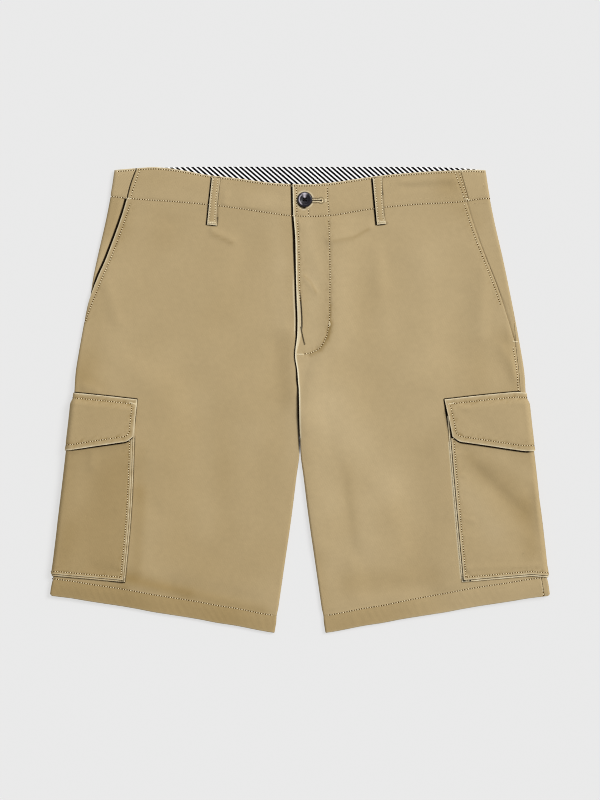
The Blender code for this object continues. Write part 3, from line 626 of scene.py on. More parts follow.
def washed_twill(name, faded, deep, wear_and_highlight, painted_shade):
    """Garment-dyed cotton twill: mottled colour, a fine diagonal rib, napped and matt.

    Its colour is darker where dyeing is uneven and where shade is painted on, paler on edges by wear and
    painted highlight, and near black in painted shade beside overlapping edges and in creases. The rib
    is drawn about twice as coarse as the real one, which is too fine to show.
    """
    material, tree, shader = finish(name, 0.9, 0.04)
    place = node(tree, "ShaderNodeTexCoord").outputs["Object"]
    clouds, slubs, nap = (
        node(tree, "ShaderNodeTexNoise", {"Vector": place, "Scale": scale, "Detail": detail}).outputs[0]
        for scale, detail in ((22.0, 3.0), (170.0, 4.0), (900.0, 3.0))
    )
    cloth_map = node(tree, "ShaderNodeUVMap", uv_map="cloth").outputs["UV"]
    turned = node(tree, "ShaderNodeMapping", {"Vector": cloth_map, "Rotation": (0, 0, math.radians(63))})
    crossing = {"Vector": turned.outputs[0], "Scale": 2 * math.pi / 20 / (RIB_MM * MM), "Distortion": 1.5}
    rib = node(tree, "ShaderNodeTexWave", crossing, bands_direction="X").outputs["Fac"]
    tone = 0.865
    for unevenness, share in ((clouds, 0.10), (slubs, 0.12), (rib, 0.05)):
        added = {0: unevenness, 1: share, 2: tone}
        tone = node(tree, "ShaderNodeMath", added, operation="MULTIPLY_ADD").outputs[0]
    grey = node(tree, "ShaderNodeCombineColor", {"Red": tone, "Green": tone, "Blue": tone}).outputs[0]
    wear_and_highlight_share, painted_shade_share, dye_and_shade = (
        node(tree, "ShaderNodeAttribute", attribute_name=name_of).outputs["Fac"]
        for name_of in ("wear_and_highlight", "painted_shade", "dye_and_shade")
    )
    # The darker colouring: uneven dyeing and painted shade
    dye_and_shade_share = node(tree, "ShaderNodeMath", {0: dye_and_shade, 1: 0.5}, operation="ADD").outputs[0]
    colour = linear(faded)
    for share, other, how in (
        (dye_and_shade_share, linear(deep), "MIX"),
        (1.0, grey, "MULTIPLY"),
        (wear_and_highlight_share, linear(wear_and_highlight), "MIX"),
        (painted_shade_share, linear(painted_shade), "MIX"),
    ):
        laid_over = {0: share, 6: colour, 7: other}
        colour = node(tree, "ShaderNodeMix", laid_over, data_type="RGBA", blend_type=how).outputs[2]
    tree.links.new(colour, shader.inputs["Base Color"])
    height = node(tree, "ShaderNodeMath", {0: rib, 1: 0.4, 2: nap}, operation="MULTIPLY_ADD").outputs[0]
    bump = node(tree, "ShaderNodeBump", {"Height": height, "Strength": 0.25, "Distance": 0.0003})
    tree.links.new(bump.outputs[0], shader.inputs["Normal"])
    return material


# Colours: faded and deep dyeing, the deep one also for painted shade; pale for wear and painted highlight;
# near black for painted shade
khaki_twill = washed_twill(
    "khaki cotton twill", faded="CFBB95", deep="9C8458", wear_and_highlight="F4E8C8", painted_shade="0F0500"
)


def cut_and_sewn(name, shells, material=khaki_twill):
    """A finished cloth piece in its solid's place."""
    made = sewn(name, shells, material)
    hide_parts(name)
    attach(made, "root")
    return made


def line(tab, shift=0.0, mirrored=False):
    """The height of a table's line above x, moved by shift."""
    return lambda x, spread: read(tab, np.abs(x) if mirrored else x) + shift


def leg_sides(face, leg):
    """From the centre edge or the inner seam to the side seam or the pocket's slant."""
    edges = FRONT_EDGE[leg] if face == FRONT else BACK_EDGE

    def sides(y):
        radius = ruled(INNER_ROLL, y)
        last = fold_spread(y) - face * read(SIDE_SEAM[leg], y) - GAP / 2
        if face == FRONT:
            last = np.minimum(last, read(POCKET_SLANT[leg], y) + 400 * (y < SEAM_POCKET_END))
        return read(edges, y) + radius * (1 - math.pi / 2) + GAP / 2, last

    return sides, edges


CARGO_WIDTH = 158.0
FLAP_WIDTH = 170.0
CARGO_MOUTH_Y = -17.0
GUSSET_SHOWS = 2.2
GUSSET_WIDTH = 10.8
CARGO_EDGE = {
    LEFT: table("y  x", (-212, 190.0), (-126, 182.1), (-46, 175.2), (0, 171.5)),
    RIGHT: table("y  x", (-212, 205.4), (-132, 198.0), (-47, 194.3), (0, 192.5)),
}
FLAP_EDGE = {
    LEFT: table("y  x", (-62, 179.7), (-42, 176.4), (0, 167.4), (12, 164.7)),
    RIGHT: table("y  x", (-62, 194.6), (-47, 193.4), (0, 188.6), (12, 187.4)),
}
CARGO_BOTTOM = table("from_middle  y", (0, -202.5), (79, -209.5), (90, -210.5))
FLAP_TOP = table("from_middle  y", (0, 8.9), (45, 4.6), (85, 0.1))
FLAP_BOTTOM = table(
    "from_middle  y",
    (0, -60.0), (4, -59.8), (12, -58.8), (40, -54.5), (70, -50.0), (76.5, -49.0), (78.5, -48.2),
    (85, -43.0),
)


def from_middle(tab, edge, width, leg, shift=0.0):
    """A line given by its distance from the middle of a pocket or flap, along the cloth."""

    def height(x, spread):
        y = -60.0 + 0 * spread
        for _ in range(6):
            y = read(tab, np.abs(leg * spread - read(edge, y) - width / 2)) + shift
        return y

    return height


def hem_dip(away):
    """The pull of the hem's stitching on the cloth above it."""
    return -0.7 * np.exp(-((away / 5.0) ** 2))


def hem_ropes(x, y, v):
    """Slanting ropes in a hem, where its two cloths have crept apart in sewing."""
    slanted = x + 0.5 * v + 5.0 * swells(x, y, 60, 11)
    ropes = np.sin(slanted * 2 * math.pi / 8.5) * (0.5 + 0.5 * swells(x, 0 * y, 33, 12))
    return 0.11 * ropes * ease(v / 3) * ease((HEM_DEPTH + 1 - v) / 6)


FLY_CURVE = through(
    (33.4, 208), (34.2, 185), (34.6, 118), (33.6, 88), (29.7, 70.8), (22.5, 59.7), (12.5, 54.2), (4.6, 52.8)
)
FLY_EDGE_ROW = beside(FRONT_EDGE[LEFT], 208, 116, 3.9)
SLANT_ROWS = {
    LEFT: beside(POCKET_SLANT[LEFT], 226, 112, -3.5),
    RIGHT: beside(POCKET_SLANT[RIGHT], 226, 90, -5.6, RIGHT),
}
# The rolled edge of the fly's facing, from its outer end to where it slips under the bartack
FLY_ROLL = table("y  width", (50, 1.2), (58, 2.4), (68, 4.0), (82, 5.2), (100, 5.0), (118, 4.6), (136, 2.5))
FLY_ROLL_CREASE = through((0.9, 84), (2.4, 76), (5.2, 64))
# Each front's grid follows the front edges of the cargo flap and gusset, and higher up the belt loop
FRONT_GUIDE = {
    LEFT: table(
        "y  x",
        (-280, 194), (-212, 187.8), (-126, 179.9), (-46, 173.0), (0, 166.1), (60, 152), (200, 90),
        (230, 86.5),
    ),
    RIGHT: table(
        "y  x",
        (-280, 208), (-212, 203.2), (-132, 195.8), (-47, 192.1), (0, 188.6), (60, 172), (200, 109),
        (230, 106),
    ),
}
GUIDE_STEP = 165.0
FLAP_STEP = 230.0
LOOP_FOOT = {
    LEFT: ((90.2, 257.6), (95.3, 203.4)),
    RIGHT: ((-96.1, 257.4), (-101.9, 202.4)),
}
# How far a front loop's right edge has rolled under, from its foot to its top
LOOP_ROLLED = {
    LEFT: table("up  under", (0, 1.2), (6, 2.3), (25, 2.9), (55, 1.0)),
    RIGHT: table("up  under", (0, 0.4), (6, 1.4), (25, 2.6), (55, 2.2)),
}


def beside_loop(x, y, leg):
    """Painted shade on the cloth round a front belt loop: most at its left and its foot."""
    (top_x, top_y), (foot_x, foot_y) = LOOP_FOOT[leg]
    long = math.hypot(top_x - foot_x, top_y - foot_y)
    along_x, along_y = (top_x - foot_x) / long, (top_y - foot_y) / long
    across = (x - foot_x) * along_y - (y - foot_y) * along_x
    up = (x - foot_x) * along_x + (y - foot_y) * along_y
    wide = 1.7 if leg == LEFT else 1.1
    right_edge = 6 - read(LOOP_ROLLED[leg], up)
    left = shadow(-6 - across, wide, 1.2) * (across < 0)
    right = shadow(across - right_edge, 0.1, 0.9, 0.55) * (across > 0)
    foot = shadow(-up, 0.8, 0.9, 0.92)
    inside = ease((up + 1.2) / 0.8)
    under = (across > -6.4) * (across < right_edge + 0.3) * np.where(up < 0, foot, 1.0)
    return np.maximum(np.maximum(left, right) * inside, under) * (up > -2.5) * (up < long + 0.5)


def round_cargo(grid, leg):
    """Painted shade on a front along the edges of its cargo flap and pocket."""
    x, y, spread = grid["x"], grid["y"], leg * grid["spread"]
    flap_away = read(FLAP_EDGE[leg], y) - spread
    pocket_away = read(CARGO_EDGE[leg], y) - GUSSET_SHOWS - spread
    middle = np.abs(spread - read(FLAP_EDGE[leg], y) - FLAP_WIDTH / 2)
    above_flap = y - read(FLAP_TOP, middle)
    low_middle = np.abs(spread - read(CARGO_EDGE[leg], y) - CARGO_WIDTH / 2)
    below = read(CARGO_BOTTOM, low_middle) - GUSSET_SHOWS - y
    if leg == LEFT:
        deep = np.interp(y, (-46, -40, -30, -8, 1), (0.2, 3.0, 2.8, 1.4, 0.6))
        flap_side = shadow(flap_away, deep, 1.3, 1.0)
        pocket_side = 0.0 * x
        foot = shadow(below, 0.2, 1.6, 0.25)
    else:
        flap_side = shadow(flap_away, 0.2, 0.9, 0.75)
        pocket_side = shadow(pocket_away, 0.4, 1.2, 0.65)
        at_corner = 0.4 * shadow(np.abs(spread - 205), 8, 22) * (np.abs(below) < 1.5)
        foot = shadow(below, 0.4, 1.6, 0.6) + at_corner
    flap_top = shadow(above_flap, 0.8, 0.9, 0.97) * (flap_away < 0.4) * (above_flap > -1)
    flap_side = flap_side * (above_flap < 0.4) * ease((y + 47) / 3) * (flap_away > -1.5)
    pocket_side = pocket_side * (y < -44) * (below < 0.3) * (pocket_away > -1.5)
    foot = foot * (pocket_away < 0.3) * (below > -1.5)
    return np.max([flap_side, pocket_side, flap_top, foot], axis=0)


def fly_edge_roll(x, y):
    """The height of the fly facing's rolled edge, and the painted shade in the crease beside it."""
    width = ruled(FLY_ROLL, y)
    in_roll = (x - read(FRONT_EDGE[LEFT], y)) / width
    ends = ease((y - 50) / 8) * ease((132 - y) / 16)
    round_top = np.sqrt(np.clip(1 - (2 * np.clip(in_roll, 0, 1) - 1) ** 2, 0, 1))
    ribs = 0.1 * np.sin((x + 0.9 * y) * 2 * math.pi / 2.6)
    past = np.abs(in_roll - 1) * width
    crease = shadow(past, 0.5, 0.8, 0.95) * ease((134 - y) / 20) * ease((y - 78) / 8)
    below = np.full(x.shape, 99.0)
    for (x0, y0), (x1, y1) in zip(FLY_ROLL_CREASE[:-1:3], FLY_ROLL_CREASE[3::3]):
        below = np.minimum(below, from_line(x, y, x0, y0, x1, y1)[0])
    crease = np.maximum(crease, shadow(below, 0.4, 0.8, 0.9))
    return (0.5 + ribs) * round_top * ends, crease


def deeper_hem(x, leg):
    """How much deeper a hem is turned up towards the side: only on the left leg."""
    return (leg == LEFT) * 1.9 * ease((np.abs(x) - 90) / 90)


def hem_top(leg):
    """The height of the hem's stitched top."""
    return lambda x, spread: read(HEM, np.abs(x)) + HEM_DEPTH + deeper_hem(x, leg)


def turned_up_hem(face, leg):
    """A leg's hem: its own cloth turned up, with ropes that slant across it."""
    sides, edges = leg_sides(face, leg)
    kind, widest = ("fold", 1.3) if face == FRONT else ("joined", 3.0)
    across = graded(255, widest, (0, 7, 0.7), (243, 255, 0.8), (254.4, 255, 0.3))
    along = graded(HEM_DEPTH, 1.2, (0, 0.6, 0.25), (HEM_DEPTH - 1.5, HEM_DEPTH, 0.4))
    grid = plot(face, leg, sides, line(HEM, 0.0, True), hem_top(leg), across, along, edges)
    x, y, v = grid["x"], grid["y"], grid["v"]
    level = hem_dip(HEM_DEPTH - v) + hem_ropes(x, y, v) - 0.02 * (HEM_DEPTH - v)
    # The hem's darker colouring: uneven dyeing and painted shade along the hem
    if leg == LEFT:
        dye_and_shade = 0.04 + 0.2 * ease((190 - x) / 90)
    else:
        dye_and_shade = 0.38 - 0.1 * ease((90 - np.abs(x)) / 60)
    return shell(grid, level, HEM_WALL, (kind, kind, "fold", "tucked"), edge_wear_and_highlight=0.2, dye_and_shade=dye_and_shade)


# How wide and how soft the shade is that the left front casts on the right one
FLY_SHADE_WIDTH = table(
    "y  wide",
    (-60, 0.8), (-50, 1.3), (0, 1.6), (14, 1.5), (24, 1.9), (34, 1.2), (60, 0.9), (80, 1.8), (140, 1.6),
    (180, 2.6), (212, 2.0),
)
FLY_SHADE_SOFTNESS = table("y  soft", (-50, 1.6), (-20, 3.4), (2, 2.8), (14, 1.2), (60, 0.9), (212, 1.3))


def leg_front(leg):
    """A front: its grid lies close along the fly, the pocket's edges and the flap's top."""
    sides, edges = leg_sides(FRONT, leg)
    by_fly = {LEFT: ((0, 11, 0.5), (11, 50, 1.1)), RIGHT: ((0, 13, 0.5),)}[leg]
    by_guide = (GUIDE_STEP - 5, GUIDE_STEP + 1, 0.5)
    across = graded(255, 3.0, *by_fly, by_guide, (245, 255, 0.7), (254.4, 255, 0.2))
    by_flap = ((8, 20, 0.9), (FLAP_STEP - 1, FLAP_STEP + 3, 0.5), (440, 465, 0.9))
    by_curve = ((280, 310, 1.2), (310, 420, 1.6)) if leg == LEFT else ()
    along = graded(465, 3.0, (0, 4, 0.7), (464, 465, 0.25), *by_flap, *by_curve)
    guides = {
        "upright": (GUIDE_STEP, lambda y: read(FRONT_GUIDE[leg], y)),
        "level": (FLAP_STEP, from_middle(FLAP_TOP, FLAP_EDGE[leg], FLAP_WIDTH, leg)),
    }
    high = line(WAIST_SEAM_FRONT, -0.03)
    grid = plot(FRONT, leg, sides, hem_top(leg), high, across, along, edges, **guides)
    x, y = grid["x"], grid["y"]
    sunk = pulled_in(x, y, [SLANT_ROWS[leg]] + ([FLY_CURVE, FLY_EDGE_ROW] if leg == LEFT else []))
    level = hem_dip(grid["v"]) + 0 * x + sunk
    # Darker colouring: uneven dyeing, painted shade along creases and in the stitched rows' grooves, and
    # painted shade over the whole right front
    dye_and_shade = creased(x, y, DYE_AND_SHADE) + (0.05 if leg == RIGHT else 0.0) + 0.7 * np.clip(-sunk, 0, 0.4)
    # Painted shade along the cargo flap and pocket and round the belt loop
    painted_shade = np.maximum(round_cargo(grid, leg), beside_loop(x, y, leg))
    if leg == LEFT:
        # Painted shade in the crease beside the fly's rolled edge; paleness of wear and painted highlight
        # on the roll and along the fly's edge, and painted light beside the gusset
        roll, roll_crease = fly_edge_roll(x, y)
        level = level + lap(x, y) + roll
        painted_shade = np.maximum(painted_shade, roll_crease)
        from_edge = np.maximum(x - read(FRONT_EDGE[LEFT], y) - 0.5, 0)
        on_edge = 0.8 * np.exp(-((from_edge / 0.9) ** 2)) * ease((y + 60) / 60)
        by_gusset = read(CARGO_EDGE[leg], y) - GUSSET_SHOWS - grid["spread"]
        on_gusset = 0.75 * np.exp(-(((by_gusset - 0.5) / 0.9) ** 2)) * (y < -48) * (y > -208)
        wear_and_highlight = np.max([0.34 * ease(roll / 0.4), on_edge, on_gusset], axis=0)
    else:
        # Painted shade that the left front casts on the right one, and a pale line of wear and painted
        # highlight beside it
        by_fly = read(FRONT_EDGE[LEFT], y) - x
        wide = ruled(FLY_SHADE_WIDTH, y)
        soft = ruled(FLY_SHADE_SOFTNESS, y)
        painted_shade = np.maximum(painted_shade, shadow(by_fly, wide, soft, 0.99) * (y > -60))
        wear_and_highlight = 0.55 * np.exp(-(((by_fly - 3.1) / 0.6) ** 2)) * ease((150 - y) / 20) * ease((y - 72) / 10)
    last = "pressed" if leg == LEFT else "fold"
    return shell(grid, level, CLOTH, ("fold", last, "tucked", "tucked"), painted_shade, wear_and_highlight, 0.75, dye_and_shade)


def leg_back(leg):
    sides, edges = leg_sides(BACK, leg)
    across = graded(255, 5.0, (0, 7, 0.6), (245, 255, 0.7), (254.4, 255, 0.2))
    along = graded(465, 5.0, (0, 4, 0.7), (464, 465, 0.25))
    grid = plot(BACK, leg, sides, hem_top(leg), line(WAIST_SEAM_BACK, -0.03), across, along, edges)
    level = hem_dip(grid["v"]) + 0 * grid["x"]
    return shell(grid, level, CLOTH, ("joined", "joined", "tucked", "tucked"), edge_wear_and_highlight=0.75)


def leg_panel(face, leg):
    name = ("front_" if face == FRONT else "back_") + SIDE[leg]
    body = leg_front(leg) if face == FRONT else leg_back(leg)
    return cut_and_sewn(name, [body, turned_up_hem(face, leg)])


back_left, back_right, front_left, front_right = (
    leg_panel(face, leg) for face in (BACK, FRONT) for leg in (LEFT, RIGHT)
)


def grains_along_rows():
    """The node tree that lays small long grains along rows: stitches, or the needle's holes."""
    tree = bpy.data.node_groups.new("grains along rows", "GeometryNodeTree")
    tree.interface.new_socket("Rows", in_out="INPUT", socket_type="NodeSocketGeometry")
    for name in ("Pitch", "Length", "Width", "Height", "Shift"):
        tree.interface.new_socket(name, in_out="INPUT", socket_type="NodeSocketFloat")
    tree.interface.new_socket("Seed", in_out="INPUT", socket_type="NodeSocketInt")
    tree.interface.new_socket("Material", in_out="INPUT", socket_type="NodeSocketMaterial")
    tree.interface.new_socket("Stitches", in_out="OUTPUT", socket_type="NodeSocketGeometry")
    given = node(tree, "NodeGroupInput").outputs
    rows = node(tree, "GeometryNodeMeshToCurve", {"Mesh": given["Rows"]}).outputs[0]
    even = node(tree, "GeometryNodeResampleCurve", {"Curve": rows, "Length": given["Pitch"]}, mode="LENGTH")
    up = node(tree, "GeometryNodeInputNamedAttribute", {"Name": "up"}, data_type="FLOAT_VECTOR").outputs[0]
    onward = node(tree, "GeometryNodeInputTangent").outputs[0]
    upright = node(tree, "FunctionNodeAlignRotationToVector", {"Vector": up}, axis="Z").outputs[0]
    lying = {"Rotation": upright, "Vector": onward}
    turned = node(tree, "FunctionNodeAlignRotationToVector", lying, axis="X", pivot_axis="Z").outputs[0]
    ball = node(tree, "GeometryNodeMeshUVSphere", {"Segments": 6, "Rings": 4, "Radius": 0.5}).outputs[0]
    sizes = {"X": given["Length"], "Y": given["Width"], "Z": given["Height"]}
    size = node(tree, "ShaderNodeCombineXYZ", sizes)
    ahead = node(tree, "ShaderNodeCombineXYZ", {"X": given["Shift"]})
    shaped = {"Geometry": ball, "Scale": size.outputs[0], "Translation": ahead.outputs[0]}
    grain = node(tree, "GeometryNodeTransform", shaped).outputs[0]
    spread = {"Min": (0.82, 0.8, 0.85), "Max": (1.08, 1.15, 1.1), "Seed": given["Seed"]}
    uneven = node(tree, "FunctionNodeRandomValue", spread, data_type="FLOAT_VECTOR").outputs[0]
    onto = {"Points": even.outputs[0], "Instance": grain, "Rotation": turned, "Scale": uneven}
    laid = node(tree, "GeometryNodeInstanceOnPoints", onto).outputs[0]
    real = node(tree, "GeometryNodeRealizeInstances", {"Geometry": laid}).outputs[0]
    smooth = node(tree, "GeometryNodeSetShadeSmooth", {"Geometry": real}).outputs[0]
    coloured = node(tree, "GeometryNodeSetMaterial", {"Geometry": smooth, "Material": given["Material"]})
    node(tree, "NodeGroupOutput", {0: coloured.outputs[0]})
    return tree


stitch_tree = grains_along_rows()


def rows_on(cloths, rows, face=FRONT):
    """A mesh of rows laid on the finished cloth of the front or the back, with the way out of it.

    A row's points are (spread, y), so it goes on round a side fold as the cloth does.
    """
    meshes = [cloth.data for cloth in cloths]
    trees = [
        BVHTree.FromPolygons([v.co for v in m.vertices], [p.vertices for p in m.polygons]) for m in meshes
    ]
    points, edges, ups = [], [], []
    for row in rows:
        first = len(points)
        starts, ends = (lay(face, row[:, 0], row[:, 1], out) * MM for out in (14.0, -2.0))
        for start, end in zip(starts, ends):
            inward = Vector(end - start).normalized()
            hits = [tree.ray_cast(Vector(start), inward, 0.018) for tree in trees]
            hits = [(far, at, up) for at, up, _, far in hits if at is not None]
            if not hits:
                continue
            _, at, up = min(hits, key=lambda hit: hit[0])
            points.append(at)
            ups.append(up if up.dot(inward) < 0 else -up)
        edges += [(i, i + 1) for i in range(first, len(points) - 1)]
    mesh = bpy.data.meshes.new("rows")
    mesh.from_pydata(points, edges, [])
    mesh.attributes.new("up", "FLOAT_VECTOR", "POINT").data.foreach_set("vector", np.array(ups).ravel())
    return mesh


def grains(name, rows, material, **sizes):
    """A finished piece of grains along a mesh of rows; sizes are in millimetres."""
    made = placed(name, rows)
    modifier = made.modifiers.new("grains", "NODES")
    modifier.node_group = stitch_tree
    values = {"Seed": 1, "Material": material, **{key: size * MM for key, size in sizes.items()}}
    for item in stitch_tree.interface.items_tree:
        if item.in_out == "INPUT" and item.name in values:
            modifier[item.identifier] = values[item.name]
    bpy.context.view_layer.update()
    finished = bpy.data.meshes.new_from_object(made.evaluated_get(bpy.context.evaluated_depsgraph_get()))
    made.modifiers.clear()
    for point in finished.vertices:
        point.co.z = max(point.co.z, 0.0)
    made.data = finished
    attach(made, "root")
    return made


def matt(name, colour, other, roughness, scale):
    """A matt finish whose colour drifts between two, as in spun and dyed yarn."""
    material, tree, shader = finish(name, roughness, 0.05)
    place = node(tree, "ShaderNodeTexCoord").outputs["Object"]
    drift = node(tree, "ShaderNodeTexNoise", {"Vector": place, "Scale": scale, "Detail": 2.0}).outputs[0]
    mixed = node(tree, "ShaderNodeMix", {0: drift, 6: linear(colour), 7: linear(other)}, data_type="RGBA")
    tree.links.new(mixed.outputs[2], shader.inputs["Base Color"])
    bump = node(tree, "ShaderNodeBump", {"Height": drift, "Strength": 0.3, "Distance": 0.0002}).outputs[0]
    tree.links.new(bump, shader.inputs["Normal"])
    return material


khaki_thread = matt("khaki sewing thread", "FBF0D2", "ECDDB6", 0.6, 2500.0)
# Dark grains of painted shade in the needle holes, where the thread goes into the cloth
needle_hole_shade = matt("shade in the needle holes", "4E3712", "6A4E20", 0.9, 2500.0)
THREAD_PITCH = 2.9


def topstitched(name, cloths, rows, face=FRONT, hole=1.7):
    """Lockstitch rows: a short thread between each two needle holes, with a dark grain of painted shade in
    each hole.
    """
    laid, pitch = rows_on(cloths, rows, face), THREAD_PITCH
    grains(name, laid, khaki_thread, Pitch=pitch, Length=0.55 * pitch, Width=1.0, Height=0.5, Shift=0.0)
    round_hole = {"Length": hole, "Width": hole, "Height": 0.4, "Shift": pitch / 2}
    grains(name + "_holes", laid.copy(), needle_hole_shade, Pitch=pitch, **round_hole)


def bartacked(name, cloths, rows, width=2.5):
    """Bartacks: short rows of close stitches that lie across."""
    laid = rows_on(cloths, rows)
    grains(name, laid, khaki_thread, Pitch=0.5, Length=0.42, Width=width, Height=0.7, Shift=0.0)


hem_rows = [above(HEM, leg * 33, leg * 286, HEM_DEPTH - 0.4) for leg in (RIGHT, LEFT)]
hem_rows[1][:, 1] += deeper_hem(hem_rows[1][:, 0], LEFT)
topstitched("hem_seam_stitches", [front_left], [through((281.2, -212.5), (282.4, -226.0))])
topstitched("hem_stitches", [front_left, front_right, back_left], hem_rows)
topstitched("hem_stitches_behind", [back_left, back_right, front_right], hem_rows, BACK)

# ---- Slant pockets ------------------------------------------------------------------------------
# Each front is cut away on a slant at the hip and topstitched there. The right pocket stands open
# by a hair and shows the facing of the same twill behind it; the left one is pressed shut.


def hip_facing(leg):
    def sides(y):
        seam = fold_spread(y) - read(SIDE_SEAM[leg], y) - GAP / 2
        slant = np.minimum(read(POCKET_SLANT[leg], y), seam - 2.5)
        return slant - 22, seam

    across = graded(40, 1.6, (20, 26, 0.45), (39, 40, 0.25))
    along = graded(165, 3.0, (164, 165, 0.3))
    grid = plot(FRONT, leg, sides, lambda x, s: 61 + 0 * x, line(WAIST_SEAM_FRONT, -0.03), across, along)
    shown = leg * grid["spread"] - read(POCKET_SLANT[leg], grid["y"])
    level = -(CLOTH + GAP) * (1 - ease((shown - 1) / 7 if leg == RIGHT else (shown + 0.2) / 1.4))
    # Painted shade on the facing in the right pocket's slit
    painted_shade = shadow(shown, 2.2, 1.1, 0.99) if leg == RIGHT else 0.0
    dye_and_shade = creased(grid["x"], grid["y"], DYE_AND_SHADE)
    facing = shell(grid, level, TRIM, ("tucked", "joined", "tucked", "tucked"), painted_shade, dye_and_shade=dye_and_shade)
    cut_and_sewn("hip_facing_" + SIDE[leg], [facing])


hip_facing(LEFT)
hip_facing(RIGHT)
topstitched("slant_stitches", [front_left, front_right], list(SLANT_ROWS.values()))
topstitched("side_seam_stitches", [front_left, back_left], [beside(SIDE_FOLD, 60, 12, -8.6)])
bartacked("slant_bartack", [front_left, back_left], [through((247.0, 67.6), (252.5, 66.8))])

# ---- Fly ----------------------------------------------------------------------------------------
# The left front laps over the right one and hides a closed zip of cotton tape and brass. A curved
# double row holds its facing, and bartacks hold the curve's end. The zip stays as modelled.

zip_weave = matt("woven zip tape", "A8946B", "8F7C55", 0.85, 900.0)
zip_brass = matt("dull brass", "8E8268", "6F6448", 0.4, 600.0)
zip_brass.node_tree.nodes["Principled BSDF"].inputs["Metallic"].default_value = 1.0
tape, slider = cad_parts["fly_zip_tape"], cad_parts["fly_zip_slider"]
tape.data.materials[0] = zip_weave
slider.data.materials[0] = zip_brass

topstitched("fly_stitches", [front_left], [FLY_CURVE, FLY_EDGE_ROW])
knot = through((34.0, 90), (34.4, 85))
bartacked("fly_bartacks", [front_left, front_right], [through((-3.6, 52.3), (4.0, 52.3)), knot])

# ---- Cargo pockets ------------------------------------------------------------------------------
# A patch pocket wraps each side seam on a gusset, topstitched round its edge. A separate flap is
# sewn down above its mouth, with bartacks at the ends, and hangs free below with cut corners.


def wrapped(edge, width, start=0.0, end=0.0):
    def sides(y):
        return read(edge, y) + start, read(edge, y) + width - end

    return sides


def cargo_rows(leg):
    """A pocket's stitched rows: down the front edge, along the bottom and up the back edge."""
    edge = CARGO_EDGE[leg]
    down = np.arange(-19.0, -205.0, -1.0)
    front = np.stack([leg * (read(edge, down) + 3.0), down], axis=-1)
    back = np.stack([leg * (read(edge, down) + CARGO_WIDTH - 3.0), down], axis=-1)
    wide = np.arange(3.0, CARGO_WIDTH - 2.0, 1.0)
    low = read(CARGO_BOTTOM, np.abs(wide - CARGO_WIDTH / 2)) + 3.2
    foot = np.stack([leg * (read(edge, low) + wide), low], axis=-1)
    return [front, foot, back]


def flap_rows(leg):
    """A flap's stitched rows: below its sewn top, down both ends, over the cut corners and along."""
    edge = FLAP_EDGE[leg]

    def at(far, y):
        return np.stack([leg * (read(edge, y) + far), y], axis=-1)

    wide = np.arange(6.0, FLAP_WIDTH - 5.0, 1.0)
    top = read(FLAP_TOP, np.abs(wide - FLAP_WIDTH / 2)) - 6.0
    rows = [at(wide, top)]
    half = np.append(np.arange(0.0, 74.0, 1.0), (75.4, 77.6, 79.2))
    low = np.append(read(FLAP_BOTTOM, half[:-3]) + 6.4, (-42.8, -41.0, -38.6))
    ends = np.arange(-37.0, -8.0, 1.0)
    for side in (1, -1):
        out = side * np.append(half, 79.6 + 0 * ends)
        rows.append(at(FLAP_WIDTH / 2 + out, np.append(low, ends)))
    return rows


# How much darker each pocket's cloth is coloured: partly its dyeing, partly painted shade, the right
# pocket's more
CARGO_DYE_AND_SHADE = {LEFT: 0.08, RIGHT: 0.27}
# Where a pocket is coloured darker, or below 0 paler: partly uneven dyeing, partly painted shade and
# painted light beside its folds
POCKET_DYE_AND_SHADE = {
    LEFT: table(
        "x0   y0    x1    y1    left  right  depth",
        (196, -66, 214, -86, 9, 7, 0.10),
        (214, -86, 236, -104, 16, 9, 0.12),
        (236, -104, 255, -131, 18, 12, 0.14),
        (262, -120, 268, -176, 9, 12, 0.12),
        (186, -100, 226, -150, 12, 14, -0.12),
        (205, -150, 250, -180, 14, 14, -0.04),
        (232, -68, 262, -84, 10, 10, -0.05),
    ),
    RIGHT: table(
        "x0   y0    x1    y1    left  right  depth",
        (-225, -100, -232, -190, 34, 26, 0.06),
        (-250, -80, -255, -110, 16, 16, -0.06),
        (-268, -150, -275, -190, 10, 10, 0.06),
    ),
}
# Creases that lie on the pockets: a long slack diagonal on the left one, small tucks at the edges
POCKET_CREASES = {
    LEFT: table(
        "x0   y0    x1    y1    left  right  height",
        (189, -62, 204, -83, 8, 9, -0.9),
        (204, -83, 255, -131, 9, 13, -1.7),
        (267, -105, 267, -151, 9, 9, -0.9),
        (232, -75, 262, -95, 14, 14, 0.6),
        (215, -130, 240, -170, 14, 14, 0.5),
        (180, -62, 193, -64.4, 2.2, 2.2, 0.5),
        (180, -87, 193, -89, 2.2, 2.2, 0.5),
        (183, -135, 202, -141, 2.2, 2.4, 0.6),
        (184, -157, 202, -159.5, 2.2, 2.2, 0.5),
        (189, -195.5, 278, -192, 2.6, 2.6, 0.55),
        (186, -192, 196, -204, 2.0, 2.0, -0.5),
    ),
    RIGHT: table(
        "x0   y0    x1    y1    left  right  height",
        (-241, -62, -241, -76, 6, 6, 0.8),
        (-268, -62, -259, -60, 2.4, 2.4, 0.6),
        (-225, -90, -215, -140, 16, 16, 0.5),
        (-262, -100, -268, -170, 12, 12, 0.5),
        (-200, -120, -212, -128, 3.0, 3.0, 0.4),
        (-205, -150, -222, -158, 3.0, 3.0, 0.4),
        (-216, -193, -206, -196, 2.0, 2.0, 0.5),
        (-207, -194, -206, -208, 1.6, 1.6, -0.5),
    ),
}
FLAP_CREASES = {
    LEFT: table(
        "x0   y0    x1    y1    left  right  height",
        (210, -10, 245, -35, 14, 14, 0.6),
        (181, -6, 195, -12, 3, 3, 0.5),
    ),
    RIGHT: table(
        "x0   y0    x1    y1    left  right  height",
        (-243, -1, -251, -7, 2.4, 3.0, -0.6),
        (-251, -7, -263, -10.5, 2.4, 3.0, -0.6),
        (-215, -14, -240, -38, 14, 14, 0.5),
    ),
}


